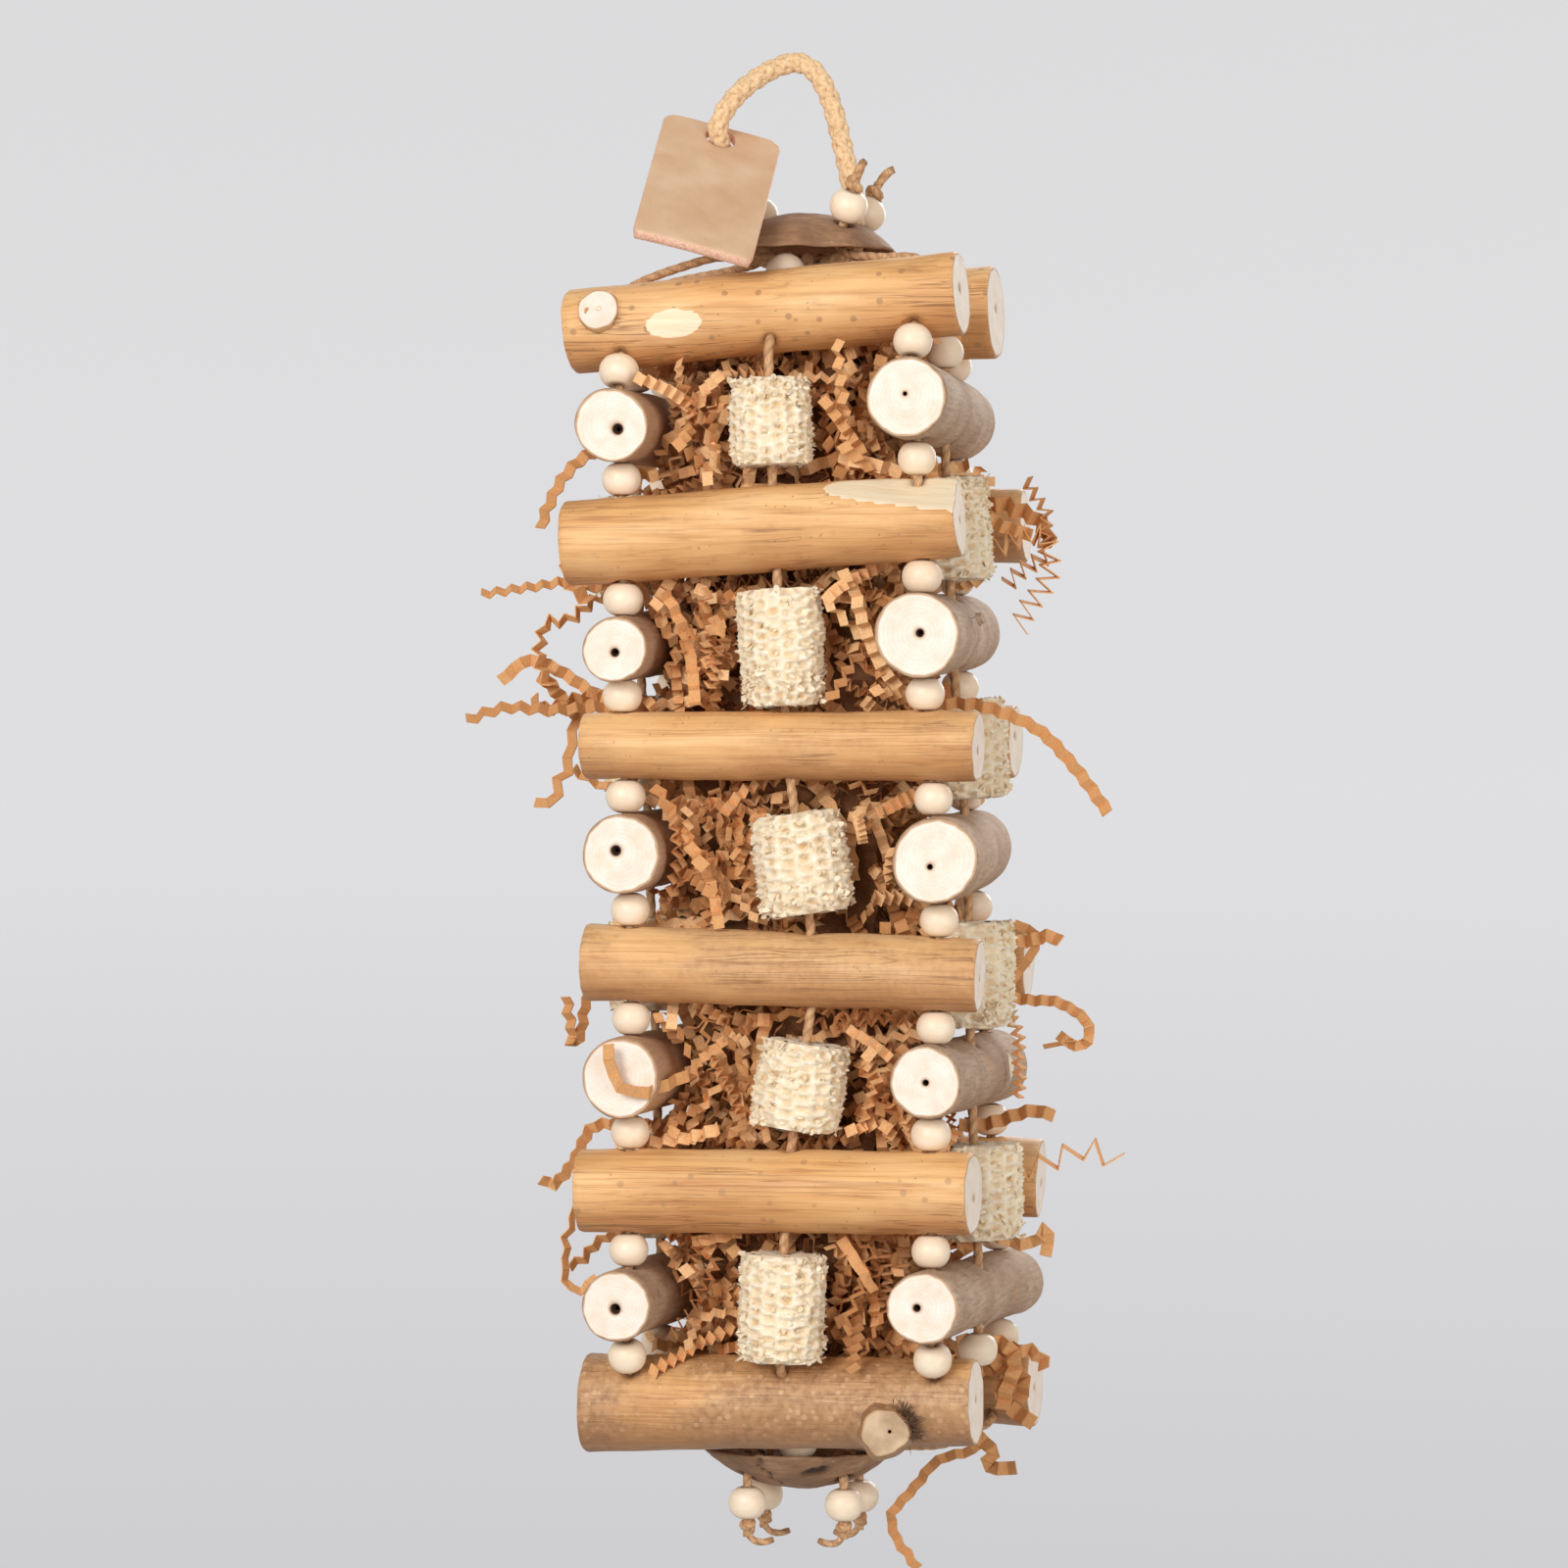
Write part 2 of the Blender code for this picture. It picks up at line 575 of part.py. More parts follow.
def lay_out_y_face_cord(face, sticks, outward):
    """Hole middles of a left or right cord, its run through each stick and its knees between them."""
    shift = Vector((-outward if face == "left" else outward, 0, 0))
    chain = [sticks[f"{face}_stick_{k + 1}"] for k in range(5)]
    middles = [stick.at(SIDE_CORD_Y) + shift for stick in chain]
    line = [middles[0] + UP] + middles + [middles[-1] - UP]
    runs = []
    knees = []
    for k, (stick, middle) in enumerate(zip(chain, middles)):
        run = UP if k in (0, 4) else (line[k] - line[k + 2]).normalized()
        reach = run * (stick.radius_at(SIDE_CORD_Y) + CORD_KNEE)
        knees += [middle + reach, middle - reach]
        runs.append(run)
    return middles, runs, knees


def build_y_face_cord(face, knees):
    """Cord down the middle of the left or right side, with a stopper bead at each end."""
    top = knees[0] + UP * BEAD_HALF
    bottom = knees[-1] - UP * BEAD_HALF
    path = [(top + UP * (BEAD_HALF + 3), 1.1)] + bead_path(top, UP)
    path += [(knee, CORD_RADIUS) for knee in knees[1:-1]]
    path += bead_path(bottom, UP) + [(bottom - UP * (BEAD_HALF + 3), 1.1)]
    tube_node(f"face_cord_{face}", path, BEAD_CREAM, 0.6)


def build_rope():
    """Loop of braided jute: a bevelled curve from cap hole to cap hole, over the crown."""
    curve = bpy.data.curves.new("hanging_rope", "CURVE")
    curve.dimensions = "3D"
    curve.bevel_depth = ROPE_RADIUS * MM
    curve.bevel_resolution = 2
    curve.use_fill_caps = True
    points = smooth_route(ROPE_ROUTE, ROPE_STEP)
    spline = curve.splines.new("POLY")
    spline.points.add(len(points) - 1)
    for slot, point in zip(spline.points, points):
        slot.co = (*(point * MM), 1)
    curve.materials.append(make_material("hanging_rope", JUTE, 0.9))
    rope = bpy.data.objects.new("hanging_rope", curve)
    bpy.context.scene.collection.objects.link(rope)


def build_rope_knot():
    """The two rope ends, tied together under the top cap."""
    start = Vector((-CAP_ROPE_HOLE_X, 0, -48.2))
    end = Vector((CAP_ROPE_HOLE_X, 0, -48.2))
    path = [(start, 2.5), (start - UP * 6.5, 2.5), (start.lerp(end, 0.12) - UP * 10.5, 2.7),
            (start.lerp(end, 0.3) - UP * 12.5, 3.2), (start.lerp(end, 0.38) - UP * 13, 5.6),
            (start.lerp(end, 0.5) - UP * 13.6, 6.6), (start.lerp(end, 0.62) - UP * 13, 5.6),
            (start.lerp(end, 0.7) - UP * 12.5, 3.2), (start.lerp(end, 0.88) - UP * 10.5, 2.7),
            (end - UP * 6.5, 2.5), (end, 2.5)]
    tube_node("rope_knot", path, JUTE, 0.9, sides=8)


def build_tag():
    """A die-cut piece of veg-tanned leather with two rounded corners and a punched hole."""
    down = TAG_DOWN
    across = (TAG_ACROSS - down * TAG_ACROSS.dot(down)).normalized()
    face = across.cross(down)
    half = TAG_WIDTH / 2
    outline = [(-half, TAG_BELOW_HOLE), (half, TAG_BELOW_HOLE)]
    for side in (1, -1):
        for k in range(5):
            turn = math.pi / 2 * (k if side > 0 else 4 - k) / 4
            outline.append((side * (half - TAG_CORNER + TAG_CORNER * math.cos(turn)),
                            -TAG_ABOVE_HOLE + TAG_CORNER - TAG_CORNER * math.sin(turn)))
    rings = []
    for level in (0.5, -0.5):
        lift = face * TAG_THICKNESS * level
        rings.append([TAG_HOLE + across * a + down * b + lift for a, b in outline])
    vertices, faces = loft(rings)
    node = make_node("leather_tag", vertices, faces, LEATHER, 0.55, origin=TAG_HOLE)
    cut(node, [bore(TAG_HOLE, face, TAG_THICKNESS, TAG_HOLE_RADIUS, 14)])


def reach_to_neighbours(origin, spoke, capsules):
    """How far the paper spreads along a spoke before it meets a stick, cob, bead or cord."""
    reach = PAPER_REACH / max(abs(spoke.x), abs(spoke.y))
    while reach > 9:
        point = origin + spoke * reach
        nearest = PAPER_CLEARANCE
        for start, end, radius in capsules:
            run = end - start
            share = min(1, max(0, (point - start).dot(run) / run.length_squared))
            nearest = min(nearest, (point - start - run * share).length - radius)
        if nearest >= PAPER_CLEARANCE:
            return reach
        reach -= 0.5
    return reach


def pleat(rings):
    """Triangles through rings with corners out and in by turns: patches of folds that slant both ways."""
    sides = len(rings[0])
    vertices, quads = loft(rings)
    faces = quads[-2:]
    for index, (first, second, third, fourth) in enumerate(quads[:-2]):
        if (index // sides // PAPER_PATCH + index % sides // PAPER_PATCH) % 2:
            faces += [(first, second, third), (first, third, fourth)]
        else:
            faces += [(first, second, fourth), (second, third, fourth)]
    return vertices, faces


def build_paper(capsules):
    """Strips packed into a column, zigzag folded at its surface, that swells into the windows."""
    rings = []
    for row in range(PAPER_RINGS):
        share = row / (PAPER_RINGS - 1)
        origin = Vector((0, 0, PAPER_TOP_Z + (PAPER_BOTTOM_Z - PAPER_TOP_Z) * share))
        closing = min(1, 0.45 + 4 * min(share, 1 - share))
        ring = []
        for k in range(PAPER_SIDES):
            turn = -2 * math.pi * k / PAPER_SIDES
            spoke = Vector((math.cos(turn), math.sin(turn), 0))
            fold = PAPER_FOLD * ((row + k + 1) % 2) + PAPER_RUFFLE * (0.5 + 0.5 * ripple(row, k))
            reach = reach_to_neighbours(origin, spoke, capsules) - fold
            ring.append(origin + spoke * reach * closing)
        rings.append(ring)
    vertices, faces = pleat(rings)
    make_node("paper_fill", vertices, faces, KRAFT, 0.9)
    return BVHTree.FromPolygons(vertices, faces)


def build_strip(name, route, twist, paper_skin):
    """A stray strip of crinkle-cut paper, folded to and fro along its route out of the packed column."""
    level = Vector((0, 0, route[0][2]))
    spoke = (Vector(route[0]) - level).normalized()
    reach = 2 * PAPER_REACH
    across = [perpendicular(spoke) * share * STRIP_WIDTH / 4 for share in (-2, -1, 0, 1, 2)]
    while min(paper_skin.find_nearest(level + spoke * reach + a)[3] for a in across) > STRIP_ROOT_GAP:
        reach -= 0.1
    root = level + spoke * reach
    points = smooth_route([root] + route, STRIP_PITCH)
    rings = []
    for i, point in enumerate(points):
        tangent = (points[min(i + 1, len(points) - 1)] - points[max(i - 1, 0)]).normalized()
        side = perpendicular(tangent)
        lift = side.cross(tangent)
        turn = twist * i / len(points)
        wide = side * math.cos(turn) + lift * math.sin(turn)
        fold = tangent.cross(wide)
        crest = point + fold * STRIP_FOLD / 2 * (-1) ** i * min(i, 1)
        corners = ((-1, -1), (1, -1), (1, 1), (-1, 1))
        rings.append([crest + wide * a * STRIP_WIDTH / 2 + fold * b * STRIP_THICKNESS for a, b in corners])
    vertices, faces = loft(rings)
    make_node(name, vertices, faces, KRAFT, 0.9)


def bores_of_sticks(corners, sticks, face_runs):
    """Bores of every stick, along the straight runs of the cords that pass through it."""
    bores = {name: [] for name in sticks}
    for corner, (holes, beads, axes, radii) in corners.items():
        face, side = corner.split("_")
        for layer, (middle, run) in enumerate(string_runs(holes, beads, axes)):
            name = f"{side if layer % 2 else face}_stick_{layer // 2 + 1}"
            bores[name].append(bore(middle, run, radii[layer] + 3))
    for name, middle, run in face_runs:
        bores[name].append(bore(middle, run, max(sticks[name].radii) + 3))
    return bores


def add_natural_features(nodes, sticks):
    """Side branches that were sawn off, and a knife cut, on the sticks that show them."""
    stick = sticks["front_stick_6"]
    toward = Vector((0, -0.86, -0.5)).normalized()
    add_stub(nodes[stick.name], stick.at(31) + toward * 10, toward, 6, 8)
    stick = sticks["right_stick_2"]
    toward = Vector((-0.75, -0.5, 0.43)).normalized()
    add_stub(nodes[stick.name], stick.at(-46) + toward * 10, toward, 3, 5)
    stick = sticks["front_stick_2"]
    shave_facet(nodes[stick.name], stick, 45, Vector((0, -0.55, 0.83)), 2.2, 0.07)


def main():
    clear_scene()
    corners = {name: stack_corner(name, *sides) for name, sides in CORNER_STICKS.items()}
    sticks = lay_out_sticks(corners)
    face_runs = []
    slices = []
    for face, xs, sizes in (("front", FRONT_CORD_X, FRONT_COBS), ("back", BACK_CORD_X, BACK_COBS)):
        middles, runs, knees = lay_out_x_face_cord(face, sticks, xs)
        build_x_face_cord(face, sticks, xs, middles, runs, knees)
        slices += build_cobs(face, sizes, list(zip(knees[0::2], knees[1::2])))
        face_runs += [(f"{face}_stick_{k + 1}", middles[k], runs[k]) for k in range(6)]
    sides = (("left", LEFT_CORD_OUTWARD, LEFT_COBS), ("right", RIGHT_CORD_OUTWARD, RIGHT_COBS))
    for face, outward, sizes in sides:
        middles, runs, knees = lay_out_y_face_cord(face, sticks, outward)
        build_y_face_cord(face, knees)
        slices += build_cobs(face, sizes, list(zip(knees[1::2], knees[2::2])))
        face_runs += [(f"{face}_stick_{k + 1}", middles[k], runs[k]) for k in range(5)]
    bores = bores_of_sticks(corners, sticks, face_runs)
    nodes = {}
    for seed, stick in enumerate(sticks.values()):
        nodes[stick.name] = build_stick(stick, seed + 1, bores[stick.name])
    add_natural_features(nodes, sticks)
    for corner, layout in corners.items():
        build_corner_string(corner, *layout)
    tails = {corner: build_bottom_tail(corner) for corner in corners}
    for name, top_z, sign in (("top_shell_cap", TOP_CAP_Z, 1), ("bottom_shell_cap", BOTTOM_CAP_Z, -1)):
        holes = [bore(*cap_hole(corner, top_z, sign), 9) for corner in corners]
        if sign > 0:
            rope_holes = [Vector((x, 0, SWING_AXIS_Z)) for x in (-CAP_ROPE_HOLE_X, CAP_ROPE_HOLE_X)]
            holes += [bore(middle, UP, 9, CAP_ROPE_HOLE_RADIUS, 10) for middle in rope_holes]
        build_cap(name, top_z, sign, holes)
    build_rope()
    build_rope_knot()
    build_tag()
    capsules = [(stick.start, stick.end, max(stick.radii)) for stick in sticks.values()]
    capsules += [(middle - axis * (height / 2 - 4), middle + axis * (height / 2 - 4), radius + 1)
                 for name, middle, axis, radius, height in slices]
    paper_skin = build_paper(capsules)
    build_strip("paper_strand_left", LEFT_STRIP_ROUTE, 1.4, paper_skin)
    build_strip("paper_strand_right", RIGHT_STRIP_ROUTE, -1.2, paper_skin)
    for name, middle, axis, radius, height in slices:
        print("spin", name, [round(v, 2) for v in middle], [round(v, 4) for v in axis])
    for corner, point in tails.items():
        print("swing", corner, [round(v, 2) for v in point])


main()
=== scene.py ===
"""Bird foraging toy: the looks of every piece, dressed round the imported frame. Lengths are in mm."""
import json
import math
import random

import bmesh
import bpy
import numpy as np
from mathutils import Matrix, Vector, noise
from mathutils.bvhtree import BVHTree


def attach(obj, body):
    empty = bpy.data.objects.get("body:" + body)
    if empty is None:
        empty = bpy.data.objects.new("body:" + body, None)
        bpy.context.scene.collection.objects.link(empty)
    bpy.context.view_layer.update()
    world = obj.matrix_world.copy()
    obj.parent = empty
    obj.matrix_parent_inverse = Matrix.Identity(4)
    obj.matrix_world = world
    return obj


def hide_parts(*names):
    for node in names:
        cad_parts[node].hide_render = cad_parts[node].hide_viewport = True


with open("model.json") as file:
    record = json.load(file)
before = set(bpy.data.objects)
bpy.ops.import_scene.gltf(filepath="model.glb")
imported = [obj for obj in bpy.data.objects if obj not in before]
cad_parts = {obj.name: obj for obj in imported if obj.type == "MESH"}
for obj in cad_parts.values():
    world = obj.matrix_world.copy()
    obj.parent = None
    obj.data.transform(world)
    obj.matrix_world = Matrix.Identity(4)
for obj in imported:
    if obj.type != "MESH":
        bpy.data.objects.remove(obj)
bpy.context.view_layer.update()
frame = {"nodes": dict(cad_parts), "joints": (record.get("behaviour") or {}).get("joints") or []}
MM = 0.001
UP = Vector((0, 0, 1))

# Where each kind of piece starts its random draws
STICK_SEED = 1
PAPER_SEED = 5
PITH_SEED = 40
STRING_SEED = 70
TAIL_SEED = 90
FACE_CORD_SEED = 110
COB_SEED = 130
STRAND_SEED = 170

# Camera, from the photograph's perspective
CAMERA_AZIMUTH = math.radians(12)
CAMERA_DISTANCE = 1900
CAMERA_SIDEWAYS = -6
CAMERA_HEIGHT = -218.4
CAMERA_LENS = 142.2

# Lamps: place, width and power
LAMP_TARGET = (0, 0, -220)
LAMPS = {"key": ((-600, -2200, 450), 1100, 34), "fill": ((1700, -1500, -300), 1500, 17.5),
         "back": ((300, 2200, 700), 1600, 34)}

# Backdrop: a round bowl that stands wider than any camera
FLOOR_Z = -1150
FLOOR_RADIUS = 3600
BOWL_FILLET = 700
BOWL_HEIGHT = 4200

# Hanging rope, by the same route as the solid
ROPE_DIAMETER = 5.8
ROPE_ROUTE = [(-16, 0, -47.2), (-16.2, 0.3, -42), (-19.2, -1.4, -34), (-23.0, -5.8, -26.6),
              (-24.3, -9, -22), (-24.2, -11.9, -17.6), (-21.4, -11.4, -11.4), (-16, -7.6, -4.6),
              (-8.6, -2.6, 1.0), (-1.5, 0, 2.9), (4.2, 0, -0.8), (8.6, 0, -9.4), (12.0, 0, -22),
              (14.8, 0, -35), (16, 0, -42), (16, 0, -47.2)]
ROPE_STRANDS = 4            # each way round the braid
ROPE_LAY = 20               # one turn of a strand
ROPE_STEP = 0.7
STRAND_TWIST = 6.5          # one turn of the yarns in a strand

# Sticks
STICK_ROWS = 97
STICK_COLUMNS = 60
STICK_END_BAND = 3          # end faces lie within this of a stick's furthest corner
STICK_LUMPS = 0.55
STICK_LUMP_SIZE = 17
STICK_SWELL = {"front_stick_1": 1.045, "front_stick_5": 1.06, "front_stick_6": 1.08, "left_stick_1": 1.07,
               "left_stick_2": 1.08, "right_stick_2": 1.06}
STICK_USUAL_SWELL = 1.04    # facets lie inside the round
STICK_RIDGES = 0.13
STICK_RIDGE_SIZE = 3.4
STICK_RIM = 0.9             # width of the worn edge at a sawn end
STICK_RAY = 40
STICK_TILT = 0.045          # of a sawn end, either way

# Corner strings, with their beads and knots
CORD_RADIUS = 1.45
CORD_TWIST = 8
CORD_STEP = 0.9
BEAD_RADIUS = 5.95
BEAD_SEAT = 5.0             # a bead's ends bed into the wood above and below it
BEAD_HALF = 4.6
BEAD_LINK = 6               # corners of one bead's solid lie closer together than this
BEAD_CORNERS = (28, 35)     # of a bead's solid, and of one with the cord's end beside it
KNOT_HALF = 3.2
KNOT_RADIUS = 3.3
TAIL_DROP = 8
STRING_VALUES = {"tone": 0.0, "dark": 0.0, "groove": 0.0}
CORNERS = ("front_left", "front_right", "back_left", "back_right")
STRING_LEAN = {"front_left": (0, 0.25, 0)}
STRING_TAIL = {"front_left": (-5, -1.5, -1), "front_right": (1.8, -1, 1.6), "back_left": (-4, 2, 2),
               "back_right": (4, 1, 2.6)}

# Shell caps
CAP_RADIUS = 31
CAP_RISE = 12
CAP_THICKNESS = 4.5
CAP_RIM_WALL = 3
TOP_CAP_Z = -43.5
BOTTOM_CAP_Z = -434
CAP_STRING_HOLE = (15, 12)
CAP_STRING_RADIUS = 2.4
CAP_RIM_RUN = (27, 19.5)    # where a corner string passes under the rim
CAP_ROPE_HOLE_X = 16
CAP_ROPE_RADIUS = 3.8
ROPE_END_Z = -48.2

# Leather tag
TAG_HOLE = (-24.3, -9, -22)
TAG_WIDTH = 37
TAG_BELOW_HOLE = 62
TAG_ABOVE_HOLE = 6.8
TAG_THICKNESS = 3.4
TAG_HOLE_RADIUS = 4.7
TAG_CORNER = 4
TAG_LOW_CORNER = 1.2
TAG_CURL = -0.3
TAG_DOWN = (0.039, -0.80, -0.60)
TAG_ACROSS = (0.937, 0.248, -0.245)

# Cobs and the cords that carry them
COB_SOCKET = 3.2            # height of one kernel socket
COB_CHAFF = 620
COB_CUPS = 23
COB_LEAN = 0.075
COB_BARREL = (0.2, 1.6)     # how far the ends draw in
COB_CRUMB = 0.75
SOCKET_DEPTH = 1.25
SOCKET_LIP = 0.85
SOCKET_RIDGE = 0.25
COB_FINENESS = 7            # columns and rows of points to each socket
# Rings of a cob's cut end from the rim inwards: share of the radius, and how pale
COB_END_RINGS = ((1, 0.2), (0.9, 0.1), (0.78, 0.25), (0.66, 0.6), (0.6, 0.65), (0.5, 0.15), (0.36, 0.0),
                 (0.24, 0.1))
FACE_CORD_RADIUS = 1.5

# Paper filling
PAPER_STRIPS = 2300
PAPER_TRIES = 40000
PAPER_LIMIT = 54
PAPER_THICKNESS = 0.4
PAPER_ROOM = 2.6            # side of the cells that strips share out among them
PAPER_CORE = 0.84           # reach of the wad inside, as a share of the solid's
PAPER_RAY = 80
PAPER_WIDTH = (3.0, 4.0)
PAPER_PANEL = (3.0, 4.3)    # length of paper from one fold to the next
PAPER_FOLD = (0.25, 1.3, 0.85)
PAPER_FOLDS = (5, 22, 11)
